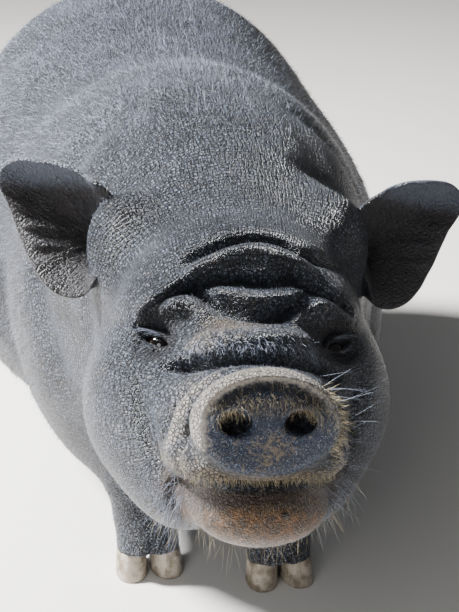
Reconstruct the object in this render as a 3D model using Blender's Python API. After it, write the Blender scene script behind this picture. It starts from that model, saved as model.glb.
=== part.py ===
"""A pot bellied pig standing on its four feet with its head lifted and turned to its right.

The animal faces -Y and +X is its left side. Its flesh is one rounded form, made of the masses named
below, pressed with the folds of the face, and then parted into the pieces that a person names.
"""
import math

import bmesh
import bpy
import numpy as np
from mathutils import Matrix, Vector

for old in list(bpy.data.objects):
    bpy.data.objects.remove(old)

MM = 0.001
GAP = 0.3

# The head's own frame starts at the middle of the snout disc: x to the pig's left, forward, up.
DISC_AT = (-22.0, -300.0, 295.0)
HEAD_TURN = 3.0
HEAD_LIFT = 14.0
HEAD_ROLL = 2.5

# Masses of flesh: name, centre, radii and width of the blend with the others, in millimetres.
BODY_MASSES = (
    ("neck", (0, -25, 288), (106, 125, 114), 60),
    ("throat", (0, -75, 225), (85, 100, 75), 50),
    ("shoulders", (-2, 95, 292), (130, 145, 128), 90),
    ("brisket", (0, 60, 200), (98, 125, 92), 80),
    ("barrel", (0, 255, 232), (192, 195, 150), 95),
    ("paunch", (0, 285, 178), (172, 180, 124), 90),
    ("loin", (0, 385, 286), (146, 160, 124), 95),
    ("rump", (0, 460, 282), (150, 130, 134), 90),
)
PAIRED_BODY_MASSES = (
    ("upper arm", (88, 62, 205), (58, 78, 104), 50),
    ("thigh", (84, 480, 215), (76, 100, 120), 50),
)
HEAD_MASSES = (
    ("cranium", (0, -172, 40), (86, 84, 74), 30),
    ("forehead", (0, -142, 64), (70, 44, 44), 24),
    ("bridge", (0, -100, 32), (42, 44, 28), 18),
    ("muzzle", (0, -68, -6), (57, 66, 41), 22),
    ("jaw", (2, -50, -61), (45, 43, 28), 12),
)
PAIRED_HEAD_MASSES = (
    ("cheek", (50, -138, -10), (57, 68, 68), 26),
    ("jowl", (39, -110, -52), (38, 48, 42), 22),
    ("brow", (50, -124, 56), (28, 26, 18), 16),
    ("lip", (30, -50, -28), (30, 40, 18), 14),
    ("ear root", (76, -190, 92), (25, 22, 36), 22),
)
# The snout disc is a flat oval plate with a rounded edge: half width, half height, half thickness, edge.
DISC_CENTRE = (0, -12, -1)
DISC_HALF = (46.5, 34, 13)
DISC_EDGE = 8
DISC_BLEND = 7
# Folds of the face in the head's frame: name, points along it, half width, and depth pressed in (raised if negative).
FOLDS = (
    ("crease over snout", ((-60, -79, 20), (-46, -67, 26), (-25, -52, 31), (0, -45, 33), (25, -49, 30), (42, -62, 22), (56, -76, 8)), 5, 11),
    ("roll of bridge", ((-44, -76, 34), (-22, -62, 40), (2, -56, 42), (24, -62, 40), (42, -76, 32)), 9, -8),
    ("lower brow crease", ((-42, -99, 72), (-30, -93, 66), (-18, -86, 60), (-2, -78, 56), (12, -78, 55), (27, -86, 57), (45, -97, 67)), 5, 10),
    ("middle brow crease", ((-68, -101, 50), (-53, -99, 65), (-38, -98, 73), (-15, -94, 78), (10, -92, 77), (34, -98, 78)), 4.5, 8.5),
    ("left brow crease", ((21, -99, 84), (49, -99, 69), (74, -104, 52)), 5, 8),
    ("upper brow crease", ((-46, -107, 82), (-37, -108, 89), (-12, -112, 101), (12, -116, 104), (30, -117, 101), (50, -117, 90), (72, -135, 79)), 5.5, 7.5),
    ("upper brow roll", ((-46, -107, 78), (-28, -104, 88), (5, -107, 95), (26, -105, 90), (50, -106, 77)), 7, -5.5),
    ("lower brow roll", ((-26, -95, 72), (-14, -90, 68), (2, -86, 66), (24, -91, 66), (42, -98, 70)), 5.5, -6),
    ("right eye roll", ((-74, -104, 50), (-60, -100, 60), (-46, -96, 63), (-32, -91, 58), (-27, -84, 46)), 7, -7),
    ("left eye roll", ((26, -84, 44), (32, -91, 56), (46, -96, 60), (62, -99, 56), (76, -104, 46)), 7, -7),
    ("ring behind disc", ((-44, -30, -34), (-50, -28, -18), (-48, -26, 2), (-38, -25, 18), (-18, -24, 29), (4, -24, 32), (26, -25, 28), (42, -27, 14), (50, -28, -8), (47, -30, -32)), 3.5, 4),
    ("snout roll", ((-54, -40, -24), (-54, -38, -6), (-46, -35, 10), (-30, -33, 24), (-8, -32, 32)), 5.5, -3.5),
    ("outer snout crease", ((-60, -58, -24), (-58, -52, -8), (-54, -48, 4), (-46, -44, 13), (-34, -42, 22)), 4, 4),
    ("left snout roll", ((52, -40, -24), (52, -38, -6), (44, -35, 12), (30, -33, 22)), 5.5, -3),
    ("left outer snout crease", ((60, -58, -24), (58, -52, -8), (54, -48, 4), (46, -44, 13)), 4, 3),
    ("right muzzle valley", ((-72, -86, 16), (-68, -76, -8), (-62, -68, -30), (-56, -64, -50)), 7, 4),
    ("left muzzle valley", ((72, -86, 14), (68, -76, -10), (62, -68, -32), (56, -64, -50)), 7, 4),
    ("mouth", ((-52, -66, -50), (-47, -50, -47), (-40, -30, -43), (-24, -16, -40), (0, -14, -39), (24, -16, -40), (40, -30, -43), (47, -50, -47), (52, -66, -50)), 3.2, 4.5),
    ("right corner of mouth", ((-50, -62, -48), (-52, -66, -58), (-50, -68, -70)), 4, 3),
    ("left corner of mouth", ((50, -62, -48), (52, -66, -58), (50, -68, -70)), 4, 3),
    ("upper lip", ((-38, -28, -36), (-20, -12, -33), (0, -9, -32), (20, -12, -33), (38, -28, -36)), 4.5, -2),
    ("right ear crease", ((-58, -216, 118), (-66, -204, 104), (-80, -196, 78)), 6, 3),
    ("left ear crease", ((58, -216, 118), (66, -204, 104), (80, -196, 78)), 6, 3),
)
# Eyes: middle of the opening on the skin, its outer and inner corner, in the head's frame.
EYES = {
    "right": ((-63, -92, 40), (-72, -98, 42), (-53, -84, 36)),
    "left": ((64, -89, 36), (73, -95, 37), (54, -82, 33)),
}
EYE_RADIUS = 11.5
EYE_DEPTH = 6.5
EYE_HALF_LENGTH = 10
EYE_HALF_HEIGHT = 3.4
SOCKET_WIDTH, SOCKET_DEPTH = 15, 8
LID_WIDTH, LID_RISE, LOWER_LID_RISE = 3.2, 4.6, 3.6
# Folds of the body in the stance, one on each side: name, points along it, half width and depth.
BODY_FOLDS = (
    ("fold behind neck", ((60, 40, 400), (105, 32, 350), (140, 24, 290), (137, -6, 236), (120, -14, 185)), 19, 7),
    ("valley beside neck", ((64, -85, 380), (72, -38, 388), (68, 0, 400), (54, 50, 411), (34, 105, 417)), 20, 7),
    ("fold of neck", ((40, -62, 385), (88, -58, 350), (110, -60, 300), (104, -70, 240)), 9, 4),
    ("fold behind elbow", ((142, 138, 260), (140, 134, 200), (118, 122, 150)), 20, 7),
    ("fold before thigh", ((150, 384, 235), (140, 390, 180), (110, 396, 135)), 22, 8),
)
# Each leg from the shoulder or hip down to the pastern: x, y, z and radius.
LEG_BLEND = 30
JOINT_BLEND = 12
HEAD_BLEND = 30
LEGS = {
    "fore_right": ((-72, 45, 190, 50), (-66, 46, 125, 37), (-60, 34, 88, 28), (-56, 32, 55, 25), (-55, 26, 26, 27)),
    "fore_left": ((72, 30, 190, 50), (66, 22, 125, 37), (58, 0, 88, 28), (54, -4, 55, 25), (53, -10, 26, 27)),
    "hind_right": ((-82, 485, 190, 62), (-78, 512, 152, 44), (-74, 550, 113, 28), (-71, 544, 72, 23), (-70, 523, 26, 26)),
    "hind_left": ((82, 500, 190, 62), (78, 534, 152, 44), (74, 574, 113, 28), (71, 568, 72, 23), (70, 548, 26, 26)),
}


def head_axes():
    turn, lift, roll = (math.radians(a) for a in (HEAD_TURN, HEAD_LIFT, HEAD_ROLL))
    forward = np.array([-math.sin(turn) * math.cos(lift), -math.cos(turn) * math.cos(lift), math.sin(lift)])
    level_up = np.array([math.sin(turn) * math.sin(lift), math.cos(turn) * math.sin(lift), math.cos(lift)])
    level_left = np.array([math.cos(turn), -math.sin(turn), 0.0])
    left = level_left * math.cos(roll) - level_up * math.sin(roll)
    up = level_up * math.cos(roll) + level_left * math.sin(roll)
    return np.array([left, forward, up])


HEAD = head_axes()


def from_head(points):
    """Points of the head's frame, in millimetres, as metres of the stance."""
    return (np.asarray(points, float) @ HEAD + DISC_AT) * MM


def to_head(points):
    return (np.asarray(points, float) / MM - DISC_AT) @ HEAD.T


def ellipsoid(points, centre, radii):
    offset = points - np.asarray(centre, float)
    radii = np.asarray(radii, float)
    reach = np.sqrt(((offset / radii) ** 2).sum(1))
    slope = np.sqrt(((offset / radii**2) ** 2).sum(1)) + 1e-9
    return reach * (reach - 1) / slope


def tapered(points, start, end):
    a, b = np.array(start[:3], float), np.array(end[:3], float)
    along = np.clip(((points - a) @ (b - a)) / ((b - a) @ (b - a)), 0, 1)
    radius = start[3] + (end[3] - start[3]) * along
    return np.linalg.norm(points - a - along[:, None] * (b - a), axis=1) - radius


def blend(first, second, width):
    share = np.maximum(width - np.abs(first - second), 0) / width
    return np.minimum(first, second) - share * share * width / 4


def masses_distance(points, single, paired, depth=None):
    for _, centre, radii, width in single:
        found = ellipsoid(points, centre, radii)
        depth = found if depth is None else blend(depth, found, width)
    for _, centre, radii, width in paired:
        for side in (-1, 1):
            found = ellipsoid(points, np.array(centre) * (side, 1, 1), radii)
            depth = blend(depth, found, width)
    return depth


def disc_distance(points):
    x, forward, up = (points - np.array(DISC_CENTRE, float)).T
    half_width, half_height, half_thick = DISC_HALF
    reach = np.sqrt((x / half_width) ** 2 + (up / half_height) ** 2)
    around = (reach - 1) * half_height + DISC_EDGE
    through = np.abs(forward) - half_thick + DISC_EDGE
    outside = np.hypot(np.maximum(around, 0), np.maximum(through, 0))
    return outside + np.minimum(np.maximum(around, through), 0) - DISC_EDGE


def flesh_distance(points):
    """Distance in millimetres from the flesh, less than nothing inside it."""
    stance = np.asarray(points, float) / MM
    body = masses_distance(stance, BODY_MASSES, PAIRED_BODY_MASSES)
    for joints in LEGS.values():
        leg = None
        for start, end in zip(joints, joints[1:]):
            found = tapered(stance, start, end)
            leg = found if leg is None else blend(leg, found, JOINT_BLEND)
        body = blend(body, leg, LEG_BLEND)
    local = to_head(points)
    head = masses_distance(local, HEAD_MASSES, PAIRED_HEAD_MASSES)
    head = blend(head, disc_distance(local), DISC_BLEND)
    return blend(head, body, HEAD_BLEND)


def path(points, steps=6):
    """A smooth path through a few points of the head's frame."""
    ends = [points[0], *points, points[-1]]
    ends = np.array(ends, float)
    found = []
    for a, b, c, d in zip(ends, ends[1:], ends[2:], ends[3:]):
        for t in np.arange(steps) / steps:
            found.append(0.5 * (2 * b + (c - a) * t + (2 * a - 5 * b + 4 * c - d) * t**2 + (3 * b - a - 3 * c + d) * t**3))
    found.append(ends[-1])
    return np.array(found)


def press(points, line, width, depth, fade=0.2):
    """How far one fold presses in points of the head's frame: most on its line, fading at its two ends."""
    pressed = np.zeros(len(points))
    reach = 3 * width
    near = ((points > line.min(0) - reach) & (points < line.max(0) + reach)).all(1)
    if not near.any():
        return pressed
    there = points[near]
    nearest = np.full(len(there), 1e9)
    place = np.zeros(len(there))
    for i, (a, b) in enumerate(zip(line, line[1:])):
        along = np.clip(((there - a) @ (b - a)) / ((b - a) @ (b - a) + 1e-9), 0, 1)
        apart = ((there - a - along[:, None] * (b - a)) ** 2).sum(1)
        closer = apart < nearest
        nearest[closer] = apart[closer]
        place[closer] = (i + along[closer]) / (len(line) - 1)
    strength = np.clip(np.minimum(place, 1 - place) / fade + 0.15, 0, 1)
    pressed[near] = depth * strength * np.exp(-nearest / width**2)
    return pressed


def slope(points, step=0.5 * MM):
    """The outward direction of the flesh at each point, not made of unit length."""
    corners = np.array(((1, -1, -1), (-1, -1, 1), (-1, 1, -1), (1, 1, 1)), float)
    found = np.zeros_like(points)
    for corner in corners:
        found += flesh_distance(points + corner * step)[:, None] * corner
    return found / (4 * step / MM)


def onto_flesh(points, rounds=4):
    points = np.array(points, float)
    for _ in range(rounds):
        away = slope(points)
        points -= (flesh_distance(points) / np.maximum((away**2).sum(1), 0.2))[:, None] * away * MM
    return points


def fold_lines():
    lines = []
    for _, points, width, depth in FOLDS:
        lines.append((to_head(onto_flesh(from_head(path(points)))), width, depth))
    for _, points, width, depth in BODY_FOLDS:
        for side in (-1, 1):
            stance = path(np.array(points, float) * (side, 1, 1)) * MM
            lines.append((to_head(onto_flesh(stance)), width, depth))
    return lines


def eye_frame(side):
    """Middle of the eye's opening on the flesh, and its axes: towards the inner corner, up and outward."""
    middle, outer, inner = (onto_flesh(from_head(np.array([p], float)))[0] for p in EYES[side])
    out = slope(middle[None])[0]
    out /= np.linalg.norm(out)
    along = (inner - outer) - ((inner - outer) @ out) * out
    along /= np.linalg.norm(along)
    up = np.cross(out, along)
    if up @ HEAD[2] < 0:
        up = -up
    return middle, along, up, out


def lid_lines():
    lines = []
    for middle, along, up, _ in EYE_FRAMES.values():
        for rise, depth in ((EYE_HALF_HEIGHT + 2.4, -LID_RISE), (-EYE_HALF_HEIGHT - 1.8, -LOWER_LID_RISE)):
            arc = []
            for share in np.linspace(-1, 1, 9):
                place = along * share * (EYE_HALF_LENGTH + 2) + up * rise * (1 - share**2)
                arc.append(middle + place * MM)
            lines.append((to_head(onto_flesh(arc)), LID_WIDTH, depth))
    return lines


def fold_depth(points):
    """How far in millimetres the folds of the face press the flesh in, or raise it where less than nothing."""
    local = to_head(points)
    total = np.zeros(len(local))
    for line, width, depth in FOLD_LINES:
        total += press(local, line, width, depth)
    for middle, _, _, _ in EYE_FRAMES.values():
        apart = ((local - to_head(middle[None])) ** 2).sum(1)
        total += SOCKET_DEPTH * np.exp(-apart / SOCKET_WIDTH**2)
    return total


def surface(points):
    return flesh_distance(points) + fold_depth(points)


EYE_FRAMES = {side: eye_frame(side) for side in EYES}
FOLD_LINES = fold_lines() + lid_lines()


# Building the flesh.
SPHERE_CUTS = 3
HEAD_GRAIN = 2.2
BODY_GRAIN = 5.0
HEAD_TRIANGLES = 6000
BODY_TRIANGLES = 3000


def object_of(name, mesh, material):
    mesh.materials.clear()
    mesh.materials.append(material)
    made = bpy.data.objects.new(name, mesh)
    bpy.context.scene.collection.objects.link(made)
    return made


def material(name, colour, roughness):
    made = bpy.data.materials.new(name)
    made.use_nodes = True
    surface_node = made.node_tree.nodes["Principled BSDF"]
    surface_node.inputs["Base Color"].default_value = (*colour, 1)
    surface_node.inputs["Roughness"].default_value = roughness
    return made


def evaluated(thing):
    graph = bpy.context.evaluated_depsgraph_get()
    mesh = bpy.data.meshes.new_from_object(thing.evaluated_get(graph))
    thing.modifiers.clear()
    thing.data = mesh
    return thing


def rough_flesh(masses, head_masses, legs):
    """Balls for every mass of the flesh, joined as one closed skin later."""
    form = bmesh.new()

    def ball(centre, radii, of_head):
        made = bmesh.ops.create_icosphere(form, subdivisions=SPHERE_CUTS, radius=1)
        for corner in made["verts"]:
            place = np.array(corner.co) * radii + centre
            corner.co = from_head(place) if of_head else place * MM

    for single, paired, of_head in ((*masses, False), (*head_masses, True)):
        for _, centre, radii, _ in single:
            ball(np.array(centre), np.array(radii), of_head)
        for _, centre, radii, _ in paired:
            for side in (-1, 1):
                ball(np.array(centre) * (side, 1, 1), np.array(radii), of_head)
    if head_masses[0]:
        ball(np.array(DISC_CENTRE), np.array(DISC_HALF)[[0, 2, 1]] * 0.98, True)
    for joints in legs:
        for start, end in zip(joints, joints[1:]):
            for share in np.linspace(0, 1, 6):
                there = np.array(start, float) * (1 - share) + np.array(end, float) * share
                ball(there[:3], np.full(3, there[3]), False)
    mesh = bpy.data.meshes.new("rough")
    form.to_mesh(mesh)
    form.free()
    return mesh


def remeshed(thing, grain):
    modifier = thing.modifiers.new("one skin", "REMESH")
    modifier.mode = "VOXEL"
    modifier.voxel_size = grain * MM
    return evaluated(thing)


def neighbours_mean(points, edges):
    count = np.bincount(edges.ravel(), minlength=len(points))
    mean = np.empty_like(points)
    for axis in range(3):
        mean[:, axis] = np.bincount(edges[:, 0], points[edges[:, 1], axis], len(points))
        mean[:, axis] += np.bincount(edges[:, 1], points[edges[:, 0], axis], len(points))
    return mean / count[:, None]


def settle(mesh, free, rounds=6):
    """Draws the skin onto the flesh where free(points) is true, then presses the folds in."""
    points = np.empty(len(mesh.vertices) * 3, np.float32)
    mesh.vertices.foreach_get("co", points)
    points = points.reshape(-1, 3).astype(float)
    edges = np.empty(len(mesh.edges) * 2, np.int32)
    mesh.edges.foreach_get("vertices", edges)
    edges = edges.reshape(-1, 2)
    moving = free(points)
    for _ in range(rounds):
        points += 0.6 * (neighbours_mean(points, edges) - points)
        points[moving] = onto_flesh(points[moving], 2)
    away = slope(points)
    away /= np.linalg.norm(away, axis=1)[:, None] + 1e-9
    points -= away * (fold_depth(points) * moving)[:, None] * MM
    points += 0.25 * (neighbours_mean(points, edges) - points)
    mesh.vertices.foreach_set("co", points.astype(np.float32).ravel())
    mesh.update()


def decimated(thing, triangles):
    thing.data.calc_loop_triangles()
    modifier = thing.modifiers.new("fewer faces", "DECIMATE")
    modifier.ratio = triangles / len(thing.data.loop_triangles)
    modifier.use_collapse_triangulate = True
    return evaluated(thing)


def largest(mesh):
    """Keeps only the largest closed surface of a mesh."""
    form = bmesh.new()
    form.from_mesh(mesh)
    form.verts.ensure_lookup_table()
    left = set(form.verts)
    pieces = []
    while left:
        piece = set()
        edge = [left.pop()]
        while edge:
            corner = edge.pop()
            piece.add(corner)
            for link in corner.link_edges:
                other = link.other_vert(corner)
                if other in left:
                    left.discard(other)
                    edge.append(other)
        pieces.append(piece)
    if len(pieces) > 1:
        pieces.sort(key=len)
        for piece in pieces[:-1]:
            bmesh.ops.delete(form, geom=list(piece), context="VERTS")
        form.to_mesh(mesh)
    form.free()


def cut(thing, cutter, operation):
    """Cuts with the cutter, which is removed after."""
    modifier = thing.modifiers.new("cut", "BOOLEAN")
    modifier.operation = operation
    modifier.object = cutter
    evaluated(thing)
    bpy.data.objects.remove(cutter)
    return thing


def copy_of(thing, name):
    mesh = thing.data.copy()
    made = bpy.data.objects.new(name, mesh)
    bpy.context.scene.collection.objects.link(made)
    return made


def block_beyond(point, normal, apart):
    """A large block whose face lies on a plane, moved along the plane's normal, filling the side it points to."""
    reach = 1.5
    form = bmesh.new()
    bmesh.ops.create_cube(form, size=2 * reach)
    turn = Vector(normal).to_track_quat("Z", "Y").to_matrix().to_4x4()
    middle = Vector(point) * MM + Vector(normal).normalized() * (reach + apart * MM)
    form.transform(Matrix.Translation(middle) @ turn)
    mesh = bpy.data.meshes.new("block")
    form.to_mesh(mesh)
    form.free()
    made = bpy.data.objects.new("block", mesh)
    bpy.context.scene.collection.objects.link(made)
    return made


def parted(thing, name, point, normal):
    """Parts a form in two at a plane, a gap apart: the named new piece is the one that the normal points to."""
    piece = copy_of(thing, name)
    cut(piece, block_beyond(point, normal, GAP / 2), "INTERSECT")
    cut(thing, block_beyond(point, [-n for n in normal], GAP / 2), "INTERSECT")
    return piece


def loft(rings, name):
    """A closed form through rings of as many points each, with its ends capped."""
    form = bmesh.new()
    made = [[form.verts.new(Vector(p) * MM) for p in ring] for ring in rings]
    count = len(made[0])
    for low, high in zip(made, made[1:]):
        for i in range(count):
            form.faces.new((low[i], low[(i + 1) % count], high[(i + 1) % count], high[i]))
    form.faces.new(made[0][::-1])
    form.faces.new(made[-1])
    bmesh.ops.recalc_face_normals(form, faces=form.faces)
    mesh = bpy.data.meshes.new(name)
    form.to_mesh(mesh)
    form.free()
    thing = bpy.data.objects.new(name, mesh)
    bpy.context.scene.collection.objects.link(thing)
    return thing


def triangulated(thing):
    form = bmesh.new()
    form.from_mesh(thing.data)
    bmesh.ops.triangulate(form, faces=form.faces)
    form.to_mesh(thing.data)
    form.free()


def swollen(thing, name, rise):
    """A copy grown by a rise in millimetres along its own normals."""
    grown = copy_of(thing, name)
    for corner, normal in zip(grown.data.vertices, [v.normal.copy() for v in thing.data.vertices]):
        corner.co += normal * rise * MM
    return grown


SKIN = material("thick black skin", (0.075, 0.078, 0.088), 0.6)
SNOUT_SKIN = material("bare snout skin", (0.13, 0.14, 0.17), 0.5)
CHIN_SKIN = material("muddy chin skin", (0.22, 0.14, 0.08), 0.7)
EAR_SKIN = material("thin ear skin", (0.06, 0.055, 0.06), 0.6)
HORN = material("pale hoof horn", (0.5, 0.46, 0.4), 0.6)
EYE = material("dark wet eye", (0.02, 0.015, 0.012), 0.1)
BRISTLE = material("tail skin and bristle", (0.05, 0.05, 0.055), 0.7)

# Openings of the head: nostrils, and a pocket and lid opening for each eye.
NOSTRIL_APART, NOSTRIL_FORWARD, NOSTRIL_UP = 20, -4, 1
NOSTRIL_RADII = (8.5, 17, 6)
NOSTRIL_SLANT = 12
POCKET_SLACK = 0.9
LID_OPENING_DEPTH = 20


def signed_volume(mesh):
    form = bmesh.new()
    form.from_mesh(mesh)
    found = form.calc_volume(signed=True)
    form.free()
    return found


def head_ball(centre, radii, slant, name, segments=20, rings=12):
    """A ball in the head's frame, turned about the forward axis."""
    form = bmesh.new()
    bmesh.ops.create_uvsphere(form, u_segments=segments, v_segments=rings, radius=1)
    turn, tilt = math.radians(slant), np.array(radii, float)
    for corner in form.verts:
        x, forward, up = np.array(corner.co) * tilt
        x, up = x * math.cos(turn) - up * math.sin(turn), x * math.sin(turn) + up * math.cos(turn)
        corner.co = from_head(np.array([[x + centre[0], forward + centre[1], up + centre[2]]]))[0]
    mesh = bpy.data.meshes.new(name)
    form.to_mesh(mesh)
    form.free()
    if signed_volume(mesh) < 0:
        mesh.flip_normals()
    thing = bpy.data.objects.new(name, mesh)
    bpy.context.scene.collection.objects.link(thing)
    return thing


# The head and the front of the neck, finely grained.
HEAD_BACK = 210.7
HEAD_BACK_SLOPE = 0.12
BEHIND = 40
front_masses = [m for m in BODY_MASSES if m[0] in ("neck", "throat")]
head = object_of("head", rough_flesh((front_masses, ()), (HEAD_MASSES, PAIRED_HEAD_MASSES), ()), SKIN)
remeshed(head, HEAD_GRAIN)


def before_neck(points):
    local = to_head(points)
    return local[:, 1] + HEAD_BACK_SLOPE * local[:, 2] > -HEAD_BACK - BEHIND


settle(head.data, before_neck)
neck_plane = from_head(np.array([[0, -HEAD_BACK, 0]]))[0] / MM
neck_normal = np.array([0, 1, HEAD_BACK_SLOPE]) @ HEAD
cut(head, block_beyond(neck_plane, neck_normal, GAP / 2), "INTERSECT")
for side in (-1, 1):
    cutter = head_ball((side * NOSTRIL_APART, NOSTRIL_FORWARD, NOSTRIL_UP), NOSTRIL_RADII, side * NOSTRIL_SLANT, "nostril")
    cut(head, cutter, "DIFFERENCE")
triangulated(head)
decimated(head, HEAD_TRIANGLES)


def everywhere(points):
    return np.ones(len(points), bool)


# The body behind it, with its legs.
body = object_of("body", rough_flesh((BODY_MASSES, PAIRED_BODY_MASSES), ((), ()), LEGS.values()), SKIN)
remeshed(body, BODY_GRAIN)
settle(body.data, everywhere)
decimated(body, BODY_TRIANGLES)
cut(body, block_beyond(neck_plane, -neck_normal, GAP / 2), "INTERSECT")
largest(body.data)

for side, (middle, along, up, out) in EYE_FRAMES.items():
    centre = middle / MM - out * (EYE_RADIUS + EYE_DEPTH)
    local = to_head(centre[None] * MM)[0]
    eye = head_ball(local, [EYE_RADIUS] * 3, 0, "eye_" + side, 14, 9)
    eye.data.materials.append(EYE)
    eye.data.shade_smooth()
    cut(head, head_ball(local, [EYE_RADIUS + POCKET_SLACK] * 3, 0, "pocket", 12, 8), "DIFFERENCE")
    rings = []
    for rise in (EYE_RADIUS * 0.6, EYE_RADIUS + LID_OPENING_DEPTH):
        ring = []
        for angle in np.linspace(0, 2 * math.pi, 14, endpoint=False):
            across = EYE_HALF_HEIGHT * math.sin(angle) * abs(math.sin(angle)) ** 0.3
            ring.append(centre + out * rise + along * EYE_HALF_LENGTH * math.cos(angle) + up * across)
        rings.append(ring)
    cut(head, loft(rings, "opening"), "DIFFERENCE")
largest(head.data)

# The snout and the jaw part from the head behind the folds of the muzzle, and from each other at the mouth.
MUZZLE_PLANE, MUZZLE_SLOPE = -56, -0.333
MOUTH_PLANE, MOUTH_SLOPE = -37.5, 0.2
MUZZLE_OUTLINE = ((-68, 60), (-68, -16), (-52, -54), (-47, -112), (47, -112), (52, -54), (68, -16), (68, 60))


def muzzle_block(more):
    """The region of the snout and jaw: as wide as the muzzle at the top and as the mouth below."""
    rings = []
    for forward in (0, 120):
        ring = []
        for x, up in MUZZLE_OUTLINE:
            x, up = x + math.copysign(more, x), up + (more if up > 0 else -more)
            there = MUZZLE_PLANE - more - MUZZLE_SLOPE * up if forward == 0 else forward
            ring.append(from_head(np.array([[x, there, up]]))[0] / MM)
        rings.append(ring)
    return loft(rings, "muzzle block")


snout = copy_of(head, "snout")
cut(snout, muzzle_block(0), "INTERSECT")
largest(snout.data)
cut(head, muzzle_block(GAP), "DIFFERENCE")
largest(head.data)
mouth_normal = np.array([0, -MOUTH_SLOPE, 1]) @ HEAD
jaw = parted(snout, "jaw", from_head(np.array([[0, 0, MOUTH_PLANE]]))[0] / MM, -mouth_normal)
snout.data.materials[0] = SNOUT_SKIN
jaw.data.materials[0] = CHIN_SKIN

# Legs part from the body at a round seat, and from their hooves at the top of the horn.
LEG_SEATS = {
    "foreleg_right": (-62, 38, ((0, 64), (72, 54), (124, 41))),
    "foreleg_left": (60, 14, ((0, 64), (72, 54), (124, 41))),
    "hindleg_right": (-74, 530, ((0, 66), (72, 60), (126, 44))),
    "hindleg_left": (74, 556, ((0, 66), (72, 60), (126, 44))),
}
SEAT_POINTS = 16


def seat(middle_x, middle_y, rings, more):
    made = []
    for height, radius in rings:
        ring = []
        for angle in np.linspace(0, 2 * math.pi, SEAT_POINTS, endpoint=False):
            reach = radius + more
            ring.append((middle_x + reach * math.cos(angle), middle_y + reach * math.sin(angle), height + (more if height else -5)))
        made.append(ring)
    return loft(made, "seat")


HOOF_TOP, HOOF_HEEL = 26, 17
HOOF_HALF_WIDTH, HOOF_TOE, HOOF_BACK = 14, 22, 14
HOOF_APART = 15
HOOF_SPLAY = 4
HOOF_POINTS = 12
FEET = {
    "fore_right": (-55, 24),
    "fore_left": (53, -12),
    "hind_right": (-70, 520),
    "hind_left": (70, 546),
}
HORN_SLOPE = (HOOF_TOP - HOOF_HEEL) / (HOOF_TOE + HOOF_BACK)


def horn_height(forward):
    return HOOF_HEEL + HORN_SLOPE * (forward + HOOF_BACK)


def hoof(name, middle, side):
    """One toe's horn: flat sole, upright inner wall, sloped front."""
    rings = []
    for share in (0, 0.08, 0.55, 1):
        ring = []
        for angle in np.linspace(0, 2 * math.pi, HOOF_POINTS, endpoint=False):
            c, s = math.cos(angle), math.sin(angle)
            forward = math.copysign(abs(c) ** 0.75, c) * (HOOF_TOE if c > 0 else HOOF_BACK)
            across = math.copysign(abs(s) ** 0.7, s) * HOOF_HALF_WIDTH * (1 - 0.22 * max(c, 0) ** 2)
            narrow = 1 - 0.12 * share if share > 0.05 else 0.95
            forward = forward * narrow - 4 * share
            across *= narrow
            turn = math.radians(HOOF_SPLAY) * side
            x = across * math.cos(turn) + forward * math.sin(turn)
            ring.append((middle[0] + side * HOOF_APART + x, middle[1] - forward, share * horn_height(forward)))
        rings.append(ring)
    horn = loft(rings, name)
    horn.data.materials.append(HORN)
    return horn


for name, (x, y, rings) in LEG_SEATS.items():
    leg = copy_of(body, name)
    cut(leg, seat(x, y, rings, 0), "INTERSECT")
    foot = name.replace("leg", "")
    middle = FEET[foot]
    top = (middle[0], middle[1], horn_height(0) + GAP)
    cut(leg, block_beyond(top, (0, HORN_SLOPE, 1), 0), "INTERSECT")
    largest(leg.data)
    cut(body, seat(x, y, rings, GAP), "DIFFERENCE")
    for side, word in ((-1, "right"), (1, "left")):
        hoof(f"hoof_{foot}_{word}", middle, side)
largest(body.data)

# The body parts into neck, chest, belly and rump at slightly leaning planes.
NECK_BACK = ((0, 22, 280), (0, -1, 0.12))
CHEST_BACK = ((0, 150, 250), (0, -1, 0.05))
BELLY_BACK = ((0, 402, 250), (0, -1, -0.1))
neck = parted(body, "neck", *NECK_BACK)
chest = parted(body, "chest", *CHEST_BACK)
belly = parted(body, "belly", *BELLY_BACK)
body.name = "rump"
body.data.name = "rump"
rump = body

# Ears are cupped leaves: margin points across the cup's plane, outward then up, from the top of the base.
EAR_MARGIN = (
    (-15, 12), (-8, 25), (6, 38), (26, 49), (48, 54), (66, 55), (77, 49), (78, 37), (71, 21),
    (63, 0), (53, -20), (42, -36), (28, -44), (14, -43), (5, -33), (-3, -18), (-12, -4),
)
EARS = {
    "right": ((-89, -190, 99), -1, 0),
    "left": ((100, -190, 92), 1, -9),
}
EAR_SWING = 14
EAR_TILT = 10
EAR_BOWL = (12, -3)
EAR_BOWL_DEPTH = 25
EAR_ROOT = (-18, -2)
EAR_ROOT_DEPTH = 31
EAR_THICK = 3.2
EAR_ROLL = 7
EAR_ROLL_FROM, EAR_ROLL_OVER = 8, 30
EAR_ROLL_SINK = 3.5
EAR_FRONT_LIFT = 6
EAR_TIP_BACK, EAR_TIP_FROM, EAR_TIP_OVER = 5, 50, 25
EAR_BACK_BULGE = 9
EAR_EDGE = 1.2
EAR_AROUND = 38
EAR_RINGS = (0.18, 0.42, 0.66, 0.86, 1.0)


def ring_of(points, count):
    """Evenly spaced points on a smooth closed line through the given ones."""
    points = np.array(points, float)
    line = []
    for i in range(len(points)):
        a, b, c, d = (points[(i + k) % len(points)] for k in (-1, 0, 1, 2))
        for t in np.arange(8) / 8:
            line.append(0.5 * (2 * b + (c - a) * t + (2 * a - 5 * b + 4 * c - d) * t**2 + (3 * b - a - 3 * c + d) * t**3))
    line = np.array(line + line[:1])
    length = np.concatenate(([0], np.cumsum(np.linalg.norm(np.diff(line, axis=0), axis=1))))
    at = np.linspace(0, length[-1], count, endpoint=False)
    return np.stack([np.interp(at, length, line[:, k]) for k in range(2)], 1)


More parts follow.
